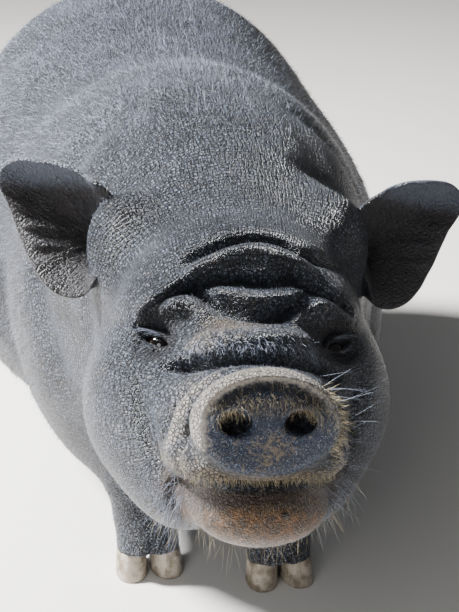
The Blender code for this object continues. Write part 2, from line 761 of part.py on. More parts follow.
def ear(name, root, side, dip):
    swing, tilt, lean = math.radians(EAR_SWING), math.radians(EAR_TILT), math.radians(dip)
    facing = np.array([side * math.sin(swing), math.cos(swing) * math.cos(tilt), math.sin(tilt)])
    outward = np.array([side * math.cos(swing), -math.sin(swing), 0.0])
    outward -= (outward @ facing) * facing
    outward /= np.linalg.norm(outward)
    upward = np.array([0, 0, 1.0]) - facing[2] * facing
    upward /= np.linalg.norm(upward)
    outward, upward = outward * math.cos(lean) + upward * math.sin(lean), upward * math.cos(lean) - outward * math.sin(lean)
    margin = ring_of(EAR_MARGIN, EAR_AROUND)
    rolled = np.clip((margin[:, 1] - EAR_ROLL_FROM) / EAR_ROLL_OVER, 0, 1) * np.clip((margin[:, 0] + 20) / 30, 0, 1)
    forward = np.where(margin[:, 0] < 10, EAR_FRONT_LIFT, 0.0) + EAR_ROLL * rolled
    forward -= EAR_TIP_BACK * np.clip((margin[:, 0] - EAR_TIP_FROM) / EAR_TIP_OVER, 0, 1)
    bowl, back = np.array(EAR_BOWL, float), np.array(EAR_ROOT, float)

    def placed(flat, depth):
        return from_head(root + flat[:, :1] * outward + flat[:, 1:] * upward + depth[:, None] * facing) / MM

    rings = []
    for share in EAR_RINGS:
        flat = bowl + (margin - bowl) * share
        flat[:, 1] -= EAR_ROLL_SINK * rolled * max(0, share - 0.8) * 5
        hollow = -EAR_BOWL_DEPTH * (1 - share) ** 1.5
        curl = EAR_ROLL * rolled * max(0, share - 0.7) / 0.3
        rings.append(placed(flat, hollow + (forward - EAR_ROLL * rolled) * share + curl))
    edge = margin + (margin - bowl) / np.linalg.norm(margin - bowl, axis=1)[:, None] * EAR_EDGE
    edge[:, 1] -= 1.5 * rolled
    rings.append(placed(edge, forward - EAR_THICK / 2))
    for share in EAR_RINGS[::-1]:
        flat = back + (margin - back) * share
        depth = -EAR_ROOT_DEPTH * (1 - share) - EAR_THICK - EAR_BACK_BULGE * math.sin(math.pi * share) ** 0.8
        rings.append(placed(flat, depth + forward * share**2))
    made = loft(rings, name)
    made.data.materials.append(EAR_SKIN)
    triangulated(made)
    made.data.shade_smooth()
    return made


for side, (root, word, dip) in EARS.items():
    made = ear("ear_" + side, np.array(root, float), word, dip)
    cut(made, swollen(head, "head seat", GAP), "DIFFERENCE")
    cut(made, swollen(neck, "neck seat", GAP), "DIFFERENCE")
    largest(made.data)

# The tail hangs straight from the top of the rump and ends in a tassel of flat locks.
TAIL = ((0, 560, 322, 11), (0, 590, 317, 10), (2, 610, 300, 9), (4, 619, 262, 7.5), (5, 622, 215, 6), (5, 623, 175, 5), (5, 624, 150, 3.5))
TAIL_AROUND = 9
LOCK_COUNT = 12
LOCK_TURN = 2.4
TASSEL_AT = (5, 622.5)
TASSEL_TOP, TASSEL_DEEP = 196, 42
TASSEL_SINK = 1.5
LOCK_LENGTH = 62
LOCK_WIDTH = 3.6
LOCK_THICK = 1.5


def tube(points, around, name):
    """A round form through centres with radii, its rings square to its path."""
    points = np.array(points, float)
    ways = np.gradient(points[:, :3], axis=0)
    rings = []
    for (x, y, z, radius), way in zip(points, ways):
        way = Vector(way).normalized()
        across = way.cross(Vector((1, 0.1, 0))).normalized()
        over = way.cross(across)
        ring = []
        for angle in np.linspace(0, 2 * math.pi, around, endpoint=False):
            ring.append(Vector((x, y, z)) + (across * math.cos(angle) + over * math.sin(angle)) * radius)
        rings.append(ring)
    return loft(rings, name)


def lock(start, way, side, length, name):
    """A flat tapered lock: its root sunk in the tail, its tip thin."""
    way, side = Vector(way).normalized(), Vector(side).normalized()
    face = way.cross(side)
    rings = []
    for share, wide in ((0, 0.7), (0.25, 1), (0.55, 0.9), (0.8, 0.6), (1, 0.12)):
        middle = Vector(start) + way * length * share + face * 5 * share * share
        half, thick = side * LOCK_WIDTH * wide, face * (LOCK_THICK if share < 0.9 else 0.3)
        rings.append([middle - half - thick, middle + half - thick, middle + half + thick, middle - half + thick])
    return loft(rings, name)


tail = tube(TAIL, TAIL_AROUND, "tail")
tassel = bpy.data.collections.new("tassel")
bpy.context.scene.collection.children.link(tassel)
for i in range(LOCK_COUNT):
    angle = LOCK_TURN * i
    height = TASSEL_TOP - TASSEL_DEEP * i / LOCK_COUNT
    out = Vector((math.cos(angle), math.sin(angle), 0))
    start = Vector((*TASSEL_AT, height)) + out * TASSEL_SINK
    way = out * (0.20 + 0.05 * math.sin(3.1 * i)) + Vector((0, 0, -1))
    made = lock(start, way, out.cross(Vector((0, 0, 1))), LOCK_LENGTH * (0.82 + 0.18 * math.cos(1.7 * i)), f"lock {i}")
    bpy.context.scene.collection.objects.unlink(made)
    tassel.objects.link(made)
modifier = tail.modifiers.new("tassel", "BOOLEAN")
modifier.operation = "UNION"
modifier.operand_type = "COLLECTION"
modifier.collection = tassel
evaluated(tail)
for made in list(tassel.objects):
    bpy.data.objects.remove(made)
bpy.data.collections.remove(tassel)
triangulated(tail)
largest(tail.data)
cut(tail, swollen(rump, "rump seat", GAP), "DIFFERENCE")
largest(tail.data)
tail.data.materials.clear()
tail.data.materials.append(BRISTLE)

# Two small claws stand behind each foot.
CLAW_APART, CLAW_BEHIND = 12, 17
CLAW_AROUND = 7
CLAW_SEAT_SLACK = 0.4
# Each claw from its root down to its tip: across, behind, height and radius.
CLAW = ((9, 8, 50, 6), (10, CLAW_BEHIND, 47, 8), (CLAW_APART, CLAW_BEHIND + 9, 38, 6.5), (CLAW_APART, CLAW_BEHIND + 13, 30, 3))
for foot, (x, y) in FEET.items():
    leg = bpy.data.objects[foot.replace("_", "leg_")]
    for side, word in ((-1, "right"), (1, "left")):
        points = [(x + side * across, y + behind, height, radius) for across, behind, height, radius in CLAW]
        claw = tube(points, CLAW_AROUND, f"dewclaw_{foot}_{word}")
        claw.data.materials.append(HORN)
        seat_points = [(*p[:3], p[3] + GAP + CLAW_SEAT_SLACK) for p in points]
        cut(leg, tube(seat_points, CLAW_AROUND, "claw seat"), "DIFFERENCE")
        largest(leg.data)

# The row stands on its hooves, with the middle of its box over the origin.
solids = [thing for thing in bpy.data.objects if thing.type == "MESH"]
corners = np.array([corner.co[:] for thing in solids for corner in thing.data.vertices])
low, high = corners.min(0), corners.max(0)
shift = Vector((-(low[0] + high[0]) / 2, -(low[1] + high[1]) / 2, -low[2]))
for thing in solids:
    thing.data.transform(Matrix.Translation(shift))
    if not thing.name.startswith(("hoof", "dewclaw")):
        thing.data.shade_smooth()
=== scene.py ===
"""Looks of a pot bellied pig that stands on its four feet with its head lifted."""

import math

import bmesh
import bpy
import numpy as np
from mathutils import Matrix, Vector
from mathutils.bvhtree import BVHTree


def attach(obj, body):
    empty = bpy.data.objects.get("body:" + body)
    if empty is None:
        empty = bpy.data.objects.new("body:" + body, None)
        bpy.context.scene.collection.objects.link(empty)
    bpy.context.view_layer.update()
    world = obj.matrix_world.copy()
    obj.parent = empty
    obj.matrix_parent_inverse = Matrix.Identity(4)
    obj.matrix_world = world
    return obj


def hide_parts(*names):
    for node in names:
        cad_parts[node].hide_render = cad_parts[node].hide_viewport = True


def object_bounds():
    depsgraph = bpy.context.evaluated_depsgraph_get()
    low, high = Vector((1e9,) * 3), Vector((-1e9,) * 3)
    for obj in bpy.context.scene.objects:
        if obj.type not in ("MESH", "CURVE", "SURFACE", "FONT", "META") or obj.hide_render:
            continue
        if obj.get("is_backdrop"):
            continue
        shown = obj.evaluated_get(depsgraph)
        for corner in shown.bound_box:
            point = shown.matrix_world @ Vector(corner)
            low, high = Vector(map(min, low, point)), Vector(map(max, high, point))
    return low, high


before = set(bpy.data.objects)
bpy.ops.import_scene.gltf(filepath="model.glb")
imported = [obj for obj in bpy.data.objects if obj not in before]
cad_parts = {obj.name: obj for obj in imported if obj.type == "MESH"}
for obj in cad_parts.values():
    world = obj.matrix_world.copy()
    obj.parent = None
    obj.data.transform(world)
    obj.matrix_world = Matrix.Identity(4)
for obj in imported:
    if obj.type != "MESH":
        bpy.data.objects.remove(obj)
cad_low, cad_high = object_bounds()

# The hide is one thick charcoal skin over the whole animal, loose and folded on the face and tight behind.
# Its form is the named masses of flesh below, blended, pressed with the folds of the face and opened at
# the eyes, nostrils and mouth. The ears and the tail grow out of it with no seam.
MM = 0.001
STANCE_SHIFT = (0.189, -162.341, 0.0)
DISC_AT = np.array((-22.0, -300.0, 295.0))
HEAD_TURN, HEAD_LIFT, HEAD_ROLL = 3.0, 14.0, 2.5

# Name, centre, radii and width of the blend with the others, in millimetres.
BODY_MASSES = (
    ("neck", (0, -25, 288), (106, 125, 114), 60),
    ("throat", (0, -75, 225), (85, 100, 75), 50),
    ("shoulders", (-2, 95, 292), (130, 145, 128), 90),
    ("brisket", (0, 60, 200), (98, 125, 92), 80),
    ("barrel", (0, 255, 232), (192, 195, 150), 95),
    ("paunch", (0, 285, 178), (172, 180, 124), 90),
    ("loin", (0, 385, 286), (146, 160, 124), 95),
    ("rump", (0, 460, 282), (150, 130, 134), 90),
)
PAIRED_BODY_MASSES = (
    ("upper arm", (88, 62, 205), (58, 78, 104), 50),
    ("thigh", (84, 480, 215), (76, 100, 120), 50),
)
HEAD_MASSES = (
    ("cranium", (0, -172, 40), (86, 84, 74), 30),
    ("forehead", (0, -142, 64), (70, 44, 44), 24),
    ("bridge", (0, -100, 32), (42, 44, 28), 18),
    ("muzzle", (0, -68, -6), (57, 66, 41), 22),
    ("jaw", (2, -50, -61), (45, 43, 28), 12),
)
PAIRED_HEAD_MASSES = (
    ("cheek", (50, -138, -10), (57, 68, 68), 26),
    ("jowl", (39, -110, -52), (38, 48, 42), 22),
    ("brow", (50, -124, 56), (28, 26, 18), 16),
    ("lip", (30, -50, -28), (30, 40, 18), 14),
    ("ear root", (76, -190, 92), (25, 22, 36), 22),
)
DISC_CENTRE = (0, -12, -1)
DISC_HALF = (46.5, 34, 13)
DISC_EDGE, DISC_BLEND = 8, 7
LEG_BLEND, LEG_JOINT_BLEND = 30, 12
HEAD_BLEND = 30
# Each leg's joints from the body down: place and radius.
LEGS = {
    "fore_right": (
        (-72, 45, 190, 50), (-66, 46, 125, 37), (-60, 34, 88, 28),
        (-56, 32, 55, 25), (-55, 26, 26, 27),
    ),
    "fore_left": (
        (72, 30, 190, 50), (66, 22, 125, 37), (58, 0, 88, 28),
        (54, -4, 55, 25), (53, -10, 26, 27),
    ),
    "hind_right": (
        (-82, 485, 190, 62), (-78, 512, 152, 44), (-74, 550, 113, 28),
        (-71, 544, 72, 23), (-70, 523, 26, 26),
    ),
    "hind_left": (
        (82, 500, 190, 62), (78, 534, 152, 44), (74, 574, 113, 28),
        (71, 568, 72, 23), (70, 548, 26, 26),
    ),
}
# Folds of the face: name, points along it in the head's frame, half width, and depth (raised if negative).
FOLDS = (
    ("crease over snout", ((-60, -79, 20), (-46, -67, 26), (-25, -52, 31), (0, -45, 33), (25, -49, 30),
     (42, -62, 22), (56, -76, 8)), 5, 11),
    ("roll of bridge", ((-44, -76, 34), (-22, -62, 40), (2, -56, 42), (24, -62, 40), (42, -76, 32)), 9, -8),
    ("lower brow crease", ((-42, -99, 72), (-30, -93, 66), (-18, -86, 60), (-2, -78, 56), (12, -78, 55),
     (27, -86, 57), (45, -97, 67)), 5, 10),
    ("middle brow crease", ((-68, -101, 50), (-53, -99, 65), (-38, -98, 73), (-15, -94, 78), (10, -92, 77),
     (34, -98, 78)), 4.5, 8.5),
    ("left brow crease", ((21, -99, 84), (49, -99, 69), (74, -104, 52)), 5, 8),
    ("upper brow crease", ((-46, -107, 82), (-37, -108, 89), (-12, -112, 101), (12, -116, 104),
     (30, -117, 101), (50, -117, 90), (72, -135, 79)), 5.5, 7.5),
    ("upper brow roll", ((-46, -107, 78), (-28, -104, 88), (5, -107, 95), (26, -105, 90), (50, -106, 77)),
     7, -5.5),
    ("lower brow roll", ((-26, -95, 72), (-14, -90, 68), (2, -86, 66), (24, -91, 66), (42, -98, 70)),
     5.5, -4.5),
    ("right eye roll", ((-74, -104, 50), (-60, -100, 60), (-46, -96, 63), (-32, -91, 58), (-27, -84, 46)),
     7, -7),
    ("left eye roll", ((26, -84, 44), (32, -91, 56), (46, -96, 60), (62, -99, 56), (76, -104, 46)), 7, -7),
    ("ring behind disc", ((-44, -30, -34), (-50, -28, -18), (-48, -26, 2), (-38, -25, 18), (-18, -24, 29),
     (4, -24, 32), (26, -25, 28), (42, -27, 14), (50, -28, -8), (47, -30, -32)), 3.5, 5),
    ("snout roll", ((-54, -40, -24), (-54, -38, -6), (-46, -35, 10), (-30, -33, 24), (-8, -32, 32)),
     5.5, -3.5),
    ("outer snout crease", ((-60, -58, -24), (-58, -52, -8), (-54, -48, 4), (-46, -44, 13), (-34, -42, 22)),
     4, 5),
    ("left snout roll", ((52, -40, -24), (52, -38, -6), (44, -35, 12), (30, -33, 22)), 5.5, -3),
    ("left outer snout crease", ((60, -58, -24), (58, -52, -8), (54, -48, 4), (46, -44, 13)), 4, 4),
    ("right muzzle valley", ((-72, -86, 16), (-68, -76, -8), (-62, -68, -30), (-56, -64, -50)), 7, 4),
    ("left muzzle valley", ((72, -86, 14), (68, -76, -10), (62, -68, -32), (56, -64, -50)), 7, 4),
    ("mouth", ((-52, -66, -50), (-47, -50, -47), (-40, -30, -43), (-24, -16, -40), (0, -14, -39),
     (24, -16, -40), (40, -30, -43), (47, -50, -47), (52, -66, -50)), 2.6, 8),
    ("right corner of mouth", ((-50, -62, -48), (-52, -66, -58), (-50, -68, -70)), 4, 3),
    ("left corner of mouth", ((50, -62, -48), (52, -66, -58), (50, -68, -70)), 4, 3),
    ("upper lip", ((-38, -28, -36), (-20, -12, -33), (0, -9, -32), (20, -12, -33), (38, -28, -36)),
     4.5, -2),
    ("right ear crease", ((-58, -216, 118), (-66, -204, 104), (-80, -196, 78)), 6, 3),
    ("left ear crease", ((58, -216, 118), (66, -204, 104), (80, -196, 78)), 6, 3),
)
# The folds of the body lie on both sides, in the stance's own millimetres.
BODY_FOLDS = (
    ("fold behind neck", ((60, 40, 400), (105, 32, 350), (140, 24, 290), (137, -6, 236), (120, -14, 185)),
     19, 7),
    ("valley beside neck", ((64, -85, 380), (72, -38, 388), (68, 0, 400), (54, 50, 411), (34, 105, 417)),
     20, 2.5),
    ("fold of neck", ((40, -62, 385), (88, -58, 350), (110, -60, 300), (104, -70, 240)), 9, 2.5),
    ("fold behind elbow", ((142, 138, 260), (140, 134, 200), (118, 122, 150)), 20, 7),
    ("fold before thigh", ((150, 384, 235), (140, 390, 180), (110, 396, 135)), 22, 8),
)
# Eyes: middle of the opening on the skin, its outer and inner corner, in the head's frame.
EYES = {
    "right": ((-63, -92, 40), (-72, -98, 42), (-53, -84, 36)),
    "left": ((64, -89, 36), (73, -95, 37), (54, -82, 33)),
}
EYE_RADIUS, EYE_DEPTH = 11.5, 6.5
EYE_HALF_LENGTH, EYE_HALF_HEIGHT = 11.5, 3.3
SOCKET_WIDTH, SOCKET_DEPTH = 15, 8
NOSTRILS = ((-20, 1, -12), (20, 1, 12))
NOSTRIL_HALF = (10.5, 7.8)
NOSTRIL_DEPTH = 20
MOLE = (12, -8, -59)
BODY_GRAIN = 4.2


def head_axes():
    turn, lift, roll = (math.radians(a) for a in (HEAD_TURN, HEAD_LIFT, HEAD_ROLL))
    forward = np.array([-math.sin(turn) * math.cos(lift), -math.cos(turn) * math.cos(lift), math.sin(lift)])
    level_up = np.array([math.sin(turn) * math.sin(lift), math.cos(turn) * math.sin(lift), math.cos(lift)])
    level_left = np.array([math.cos(turn), -math.sin(turn), 0.0])
    left = level_left * math.cos(roll) - level_up * math.sin(roll)
    up = level_up * math.cos(roll) + level_left * math.sin(roll)
    return np.array([left, forward, up])


HEAD = head_axes()


def from_stance(points):
    """Millimetres of the stance as metres of the row."""
    return (np.asarray(points, float) + STANCE_SHIFT) * MM


def to_stance(points):
    return np.asarray(points, float) / MM - STANCE_SHIFT


def from_head(points):
    """Millimetres of the head's frame, x left, forward and up from the disc, as metres of the row."""
    return from_stance(np.asarray(points, float) @ HEAD + DISC_AT)


def to_head(points):
    return (to_stance(points) - DISC_AT) @ HEAD.T


def ellipsoid(points, centre, radii):
    offset = points - np.asarray(centre, float)
    radii = np.asarray(radii, float)
    reach = np.sqrt(((offset / radii) ** 2).sum(1))
    return reach * (reach - 1) / (np.sqrt(((offset / radii**2) ** 2).sum(1)) + 1e-9)


def tapered(points, start, end):
    a, b = np.array(start[:3], float), np.array(end[:3], float)
    along = np.clip(((points - a) @ (b - a)) / ((b - a) @ (b - a)), 0, 1)
    radius = start[3] + (end[3] - start[3]) * along
    return np.linalg.norm(points - a - along[:, None] * (b - a), axis=1) - radius


def blend(first, second, width):
    share = np.maximum(width - np.abs(first - second), 0) / width
    return np.minimum(first, second) - share * share * width / 4


def masses_distance(points, single, paired):
    depth = None
    for _, centre, radii, width in single:
        found = ellipsoid(points, centre, radii)
        depth = found if depth is None else blend(depth, found, width)
    for _, centre, radii, width in paired:
        for side in (-1, 1):
            depth = blend(depth, ellipsoid(points, np.array(centre) * (side, 1, 1), radii), width)
    return depth


def disc_distance(points):
    x, forward, up = (points - np.array(DISC_CENTRE, float)).T
    half_width, half_height, half_thick = DISC_HALF
    reach = np.sqrt((x / half_width) ** 2 + (up / half_height) ** 2)
    around = (reach - 1) * half_height + DISC_EDGE
    through = np.abs(forward) - half_thick + DISC_EDGE
    outside = np.hypot(np.maximum(around, 0), np.maximum(through, 0))
    return outside + np.minimum(np.maximum(around, through), 0) - DISC_EDGE


def flesh_distance(points):
    """Distance in millimetres from the flesh, less than nothing inside it."""
    stance = to_stance(points)
    body = masses_distance(stance, BODY_MASSES, PAIRED_BODY_MASSES)
    for joints in LEGS.values():
        near = stance[:, 2] < 280
        leg = None
        for start, end in zip(joints, joints[1:]):
            found = tapered(stance[near], start, end)
            leg = found if leg is None else blend(leg, found, LEG_JOINT_BLEND)
        body[near] = blend(body[near], leg, LEG_BLEND)
    near = stance[:, 1] < 40
    local = to_head(points[near])
    head = masses_distance(local, HEAD_MASSES, PAIRED_HEAD_MASSES)
    head = blend(head, disc_distance(local), DISC_BLEND)
    body[near] = blend(head, body[near], HEAD_BLEND)
    return body


def path(points, steps=6):
    """A smooth path through a few points."""
    ends = np.array([points[0], *points, points[-1]], float)
    found = []
    for a, b, c, d in zip(ends, ends[1:], ends[2:], ends[3:]):
        for t in np.arange(steps) / steps:
            bend = (2 * a - 5 * b + 4 * c - d) * t**2 + (3 * b - a - 3 * c + d) * t**3
            found.append(0.5 * (2 * b + (c - a) * t + bend))
    return np.array([*found, ends[-1]])


def nearest_on(points, line, reach):
    """Distance to a line and the place along it from 0 to 1, for the points near it."""
    near = np.nonzero(((points > line.min(0) - reach) & (points < line.max(0) + reach)).all(1))[0]
    there = points[near]
    apart = np.full(len(there), 1e9)
    place = np.zeros(len(there))
    for i, (a, b) in enumerate(zip(line, line[1:])):
        along = np.clip(((there - a) @ (b - a)) / ((b - a) @ (b - a) + 1e-9), 0, 1)
        found = np.linalg.norm(there - a - along[:, None] * (b - a), axis=1)
        closer = found < apart
        apart[closer] = found[closer]
        place[closer] = (i + along[closer]) / (len(line) - 1)
    return near, apart, place


def slope(points, step=0.5 * MM):
    """The outward direction of the flesh at each point, not made of unit length."""
    found = np.zeros_like(points)
    for corner in np.array(((1, -1, -1), (-1, -1, 1), (-1, 1, -1), (1, 1, 1)), float):
        found += flesh_distance(points + corner * step)[:, None] * corner
    return found / (4 * step / MM)


def onto_flesh(points, rounds=4):
    points = np.array(points, float)
    for _ in range(rounds):
        away = slope(points)
        points -= (flesh_distance(points) / np.maximum((away**2).sum(1), 0.2))[:, None] * away * MM
    return points


def fold_lines():
    lines = {}
    for name, points, width, depth in FOLDS:
        lines[name] = (to_head(onto_flesh(from_head(path(points)))), width, depth)
    for name, points, width, depth in BODY_FOLDS:
        for side in (-1, 1):
            stance = from_stance(path(np.array(points, float) * (side, 1, 1)))
            lines[f"{name} {side}"] = (to_head(onto_flesh(stance)), width, depth)
    return lines


FOLD_LINES = fold_lines()


def fold_depth(local, creases_only=False):
    """How far in millimetres the folds press the flesh in, at points of the head's frame."""
    total = np.zeros(len(local))
    for line, width, depth in FOLD_LINES.values():
        if creases_only and depth < 0:
            continue
        near, apart, place = nearest_on(local, line, 3 * width)
        strength = np.clip(np.minimum(place, 1 - place) / 0.2 + 0.15, 0, 1)
        total[near] += depth * strength * np.exp(-((apart / width) ** 2))
    return total


def eye_frame(side):
    """Middle of the eye's opening, and its axes: towards the inner corner, up and outward."""
    middle, outer, inner = (onto_flesh(from_head([p]))[0] for p in EYES[side])
    out = slope(middle[None])[0]
    out /= np.linalg.norm(out)
    along = (inner - outer) - ((inner - outer) @ out) * out
    along /= np.linalg.norm(along)
    up = np.cross(out, along)
    return middle, along, up if up @ HEAD[2] > 0 else -up, out


EYE_FRAMES = {side: eye_frame(side) for side in EYES}


def add_object(name, mesh):
    made = bpy.data.objects.new(name, mesh)
    bpy.context.scene.collection.objects.link(made)
    return made


def evaluated(thing):
    graph = bpy.context.evaluated_depsgraph_get()
    mesh = bpy.data.meshes.new_from_object(thing.evaluated_get(graph))
    thing.modifiers.clear()
    thing.data = mesh
    return thing


def points_of(mesh):
    points = np.empty(len(mesh.vertices) * 3, np.float32)
    mesh.vertices.foreach_get("co", points)
    return points.reshape(-1, 3).astype(float)


def put_points(mesh, points):
    mesh.vertices.foreach_set("co", points.astype(np.float32).ravel())
    mesh.update()


def edges_of(mesh):
    edges = np.empty(len(mesh.edges) * 2, np.int32)
    mesh.edges.foreach_get("vertices", edges)
    return edges.reshape(-1, 2)


def neighbours_mean(points, edges):
    count = np.bincount(edges.ravel(), minlength=len(points))
    mean = np.empty_like(points)
    for axis in range(3):
        mean[:, axis] = np.bincount(edges[:, 0], points[edges[:, 1], axis], len(points))
        mean[:, axis] += np.bincount(edges[:, 1], points[edges[:, 0], axis], len(points))
    return mean / count[:, None]


def rough_flesh():
    """A ball for every mass of the flesh."""
    form = bmesh.new()

    def ball(centre, radii, place):
        made = bmesh.ops.create_icosphere(form, subdivisions=4, radius=1)
        for corner in made["verts"]:
            corner.co = place(np.array(corner.co) * radii + centre)

    for single, paired, place in (
        (BODY_MASSES, PAIRED_BODY_MASSES, from_stance),
        (HEAD_MASSES, PAIRED_HEAD_MASSES, from_head),
    ):
        for _, centre, radii, _ in single:
            ball(np.array(centre), np.array(radii), place)
        for _, centre, radii, _ in paired:
            for side in (-1, 1):
                ball(np.array(centre) * (side, 1, 1), np.array(radii), place)
    ball(np.array(DISC_CENTRE), np.array(DISC_HALF)[[0, 2, 1]] * 0.98, from_head)
    for joints in LEGS.values():
        for start, end in zip(joints, joints[1:]):
            for share in np.linspace(0, 1, 6):
                there = np.array(start, float) * (1 - share) + np.array(end, float) * share
                ball(there[:3], np.full(3, there[3]), from_stance)
    mesh = bpy.data.meshes.new("hide")
    form.to_mesh(mesh)
    form.free()
    return mesh


def finer(mesh, chosen, cuts):
    """Divides the faces whose corners chosen(points) picks, and fits the new corners to the flesh."""
    keep = chosen(points_of(mesh))
    form = bmesh.new()
    form.from_mesh(mesh)
    form.verts.ensure_lookup_table()
    faces = [f for f in form.faces if all(keep[v.index] for v in f.verts)]
    edges = list({e for f in faces for e in f.edges})
    bmesh.ops.subdivide_edges(form, edges=edges, cuts=cuts, use_grid_fill=True)
    bmesh.ops.triangulate(form, faces=[f for f in form.faces if len(f.verts) > 4])
    form.to_mesh(mesh)
    form.free()
    points = points_of(mesh)
    here = chosen(points)
    edges = edges_of(mesh)
    for _ in range(2):
        points[here] += 0.4 * (neighbours_mean(points, edges) - points)[here]
        points[here] = onto_flesh(points[here], 1)
    put_points(mesh, points)


FACE_BACK, DISC_BACK, DISC_BELOW = -215, -32, -70
OPENING_REACH, LID_REACH, NOSTRIL_BACK = 24, 15, -12


def near_face(points):
    local = to_head(points)
    return local[:, 1] + 0.5 * local[:, 2] > FACE_BACK


def near_openings(points):
    local = to_head(points)
    found = (local[:, 1] > DISC_BACK) & (local[:, 2] > DISC_BELOW)
    for middle, _, _, _ in EYE_FRAMES.values():
        found |= np.linalg.norm(points - middle, axis=1) < OPENING_REACH * MM
    return found


def near_lids(points):
    found = np.zeros(len(points), bool)
    for middle, _, _, _ in EYE_FRAMES.values():
        found |= np.linalg.norm(points - middle, axis=1) < LID_REACH * MM
    local = to_head(points)
    for x, up, _ in NOSTRILS:
        around = np.hypot(local[:, 0] - x, local[:, 2] - up) < LID_REACH
        found |= around & (local[:, 1] > NOSTRIL_BACK)
    return found


SMOOTH_ROUNDS, SMOOTH_SHARE = 5, 0.6
hide = add_object("hide", rough_flesh())
modifier = hide.modifiers.new("one skin", "REMESH")
modifier.mode = "VOXEL"
modifier.voxel_size = BODY_GRAIN * MM
evaluated(hide)
points, edges = points_of(hide.data), edges_of(hide.data)
for _ in range(SMOOTH_ROUNDS):
    points += SMOOTH_SHARE * (neighbours_mean(points, edges) - points)
    points = onto_flesh(points, 1)
put_points(hide.data, points)
finer(hide.data, near_face, 2)
finer(hide.data, near_openings, 1)
finer(hide.data, near_lids, 1)
points = points_of(hide.data)
away = slope(points)
away /= np.linalg.norm(away, axis=1)[:, None] + 1e-9
local = to_head(points)
pressed = fold_depth(local)
for middle, _, _, _ in EYE_FRAMES.values():
    apart = ((local - to_head(middle[None])) ** 2).sum(1)
    pressed += SOCKET_DEPTH * np.exp(-apart / SOCKET_WIDTH**2)
points -= away * (pressed * MM)[:, None]


def step(low, high, values):
    """From 0 at low to 1 at high, with soft ends."""
    share = np.clip((values - low) / (high - low), 0, 1)
    return share * share * (3 - 2 * share)


def bump(values, width):
    return np.exp(-((values / width) ** 2))


# Lids: the skin wraps the ball of the eye, folds above and below it, and turns in at the slit.
LID_THICK, BEHIND_BALL = 2.0, 2.6
# Side (above or below), how far from the slit, half width and rise.
LID_FOLDS = ((1, 2.0, 1.8, 1.8), (1, 5.6, 1.2, -1.3), (1, 9.0, 2.4, 0.8), (-1, 1.6, 1.3, 0.9),
             (-1, 4.2, 1.2, -0.7), (-1, 8.6, 1.5, -0.7))
for middle, along, up, out in EYE_FRAMES.values():
    offset = (points - middle) / MM
    near = np.nonzero((np.linalg.norm(offset, axis=1) < OPENING_REACH) & (np.abs(offset @ out) < 18))[0]
    offset = offset[near]
    a, b, height = offset @ along, offset @ up, offset @ out
    ball = np.sqrt(np.maximum(EYE_RADIUS**2 - a * a - b * b, 0)) - EYE_RADIUS - EYE_DEPTH
    beyond = np.hypot(np.maximum(np.abs(a) - EYE_HALF_LENGTH, 0), b)
    inside = EYE_HALF_HEIGHT * (1 - (a / EYE_HALF_LENGTH) ** 2) - np.abs(b)
    inside = np.where(np.abs(a) < EYE_HALF_LENGTH, inside, -beyond)
    shaped = -blend(-height, -(ball + LID_THICK), 2.5)
    for side, away_by, width, rise in LID_FOLDS:
        share = step(-1.5, 1.5, side * b) if away_by > 2 else step(-0.5, 0.5, side * b)
        shaped += rise * share * bump(inside + away_by, width) * step(OPENING_REACH, 14, np.hypot(a, b))
    opened = step(-0.2, 0.7, inside)
    shaped = shaped * (1 - opened) + (ball - BEHIND_BALL) * opened
    points[near] += out * ((shaped - height) * MM)[:, None]

# Nostrils go back and outwards into the snout, under a low rim.
local = to_head(points)
front = step(-16, -8, local[:, 1])
x, forward, up = local.T
for centre_x, centre_up, slant in NOSTRILS:
    turn = math.radians(slant)
    across = (x - centre_x) * math.cos(turn) + (up - centre_up) * math.sin(turn)
    high = (up - centre_up) * math.cos(turn) - (x - centre_x) * math.sin(turn)
    reach = np.hypot(across / NOSTRIL_HALF[0], high / NOSTRIL_HALF[1])
    local[:, 1] -= front * NOSTRIL_DEPTH * step(1.08, 0.45, reach)
    local[:, 0] += front * math.copysign(3, centre_x) * step(1.0, 0.4, reach)
    local[:, 1] += front * 1.1 * bump(reach - 1.3, 0.22)

# The disc is hollowed under its upper rim and swells between and below the nostrils.
reach = np.hypot(x / DISC_HALF[0], (up - DISC_CENTRE[2]) / DISC_HALF[1])
local[:, 1] -= front * 3.4 * bump(reach - 0.74, 0.13) * step(2, 18, up)
local[:, 1] += front * 1.5 * bump(reach - 0.95, 0.08) * step(-10, 16, up)
local[:, 1] += front * 1.3 * bump(x, 7) * bump(up + 2, 14)
local[:, 1] += 1.3 * bump(np.linalg.norm(local - np.array(MOLE), axis=1), 2.6)
points = from_head(local)

# Each foot's skin ends above the horn of its toes, with a cleft between them in front.
HOOF_TOP, HOOF_HEEL = 26, 17
HOOF_TOE, HOOF_BACK = 22, 14
HORN_SLOPE = (HOOF_TOP - HOOF_HEEL) / (HOOF_TOE + HOOF_BACK)
FEET = {
    "fore_right": (-55, 24),
    "fore_left": (53, -12),
    "hind_right": (-70, 520),
    "hind_left": (70, 546),
}
FOOT_REACH, FOOT_HEIGHT = 45, 60
stance = to_stance(points)
for foot_x, foot_y in FEET.values():
    beside = np.hypot(stance[:, 0] - foot_x, stance[:, 1] - foot_y) < FOOT_REACH
    near = np.nonzero(beside & (stance[:, 2] < FOOT_HEIGHT))[0]
    x, y, z = stance[near].T
    horn = HOOF_HEEL + HORN_SLOPE * (foot_y - y + HOOF_BACK)
    cleft = 5 * bump(x - foot_x, 3.2) * step(foot_y, foot_y - 12, y) * step(44, 30, z)
    stance[near, 1] += cleft
    stance[near, 2] = -blend(-z, -(horn + 0.4), 3)
points = from_stance(stance)
put_points(hide.data, points)
hide.data.shade_smooth()

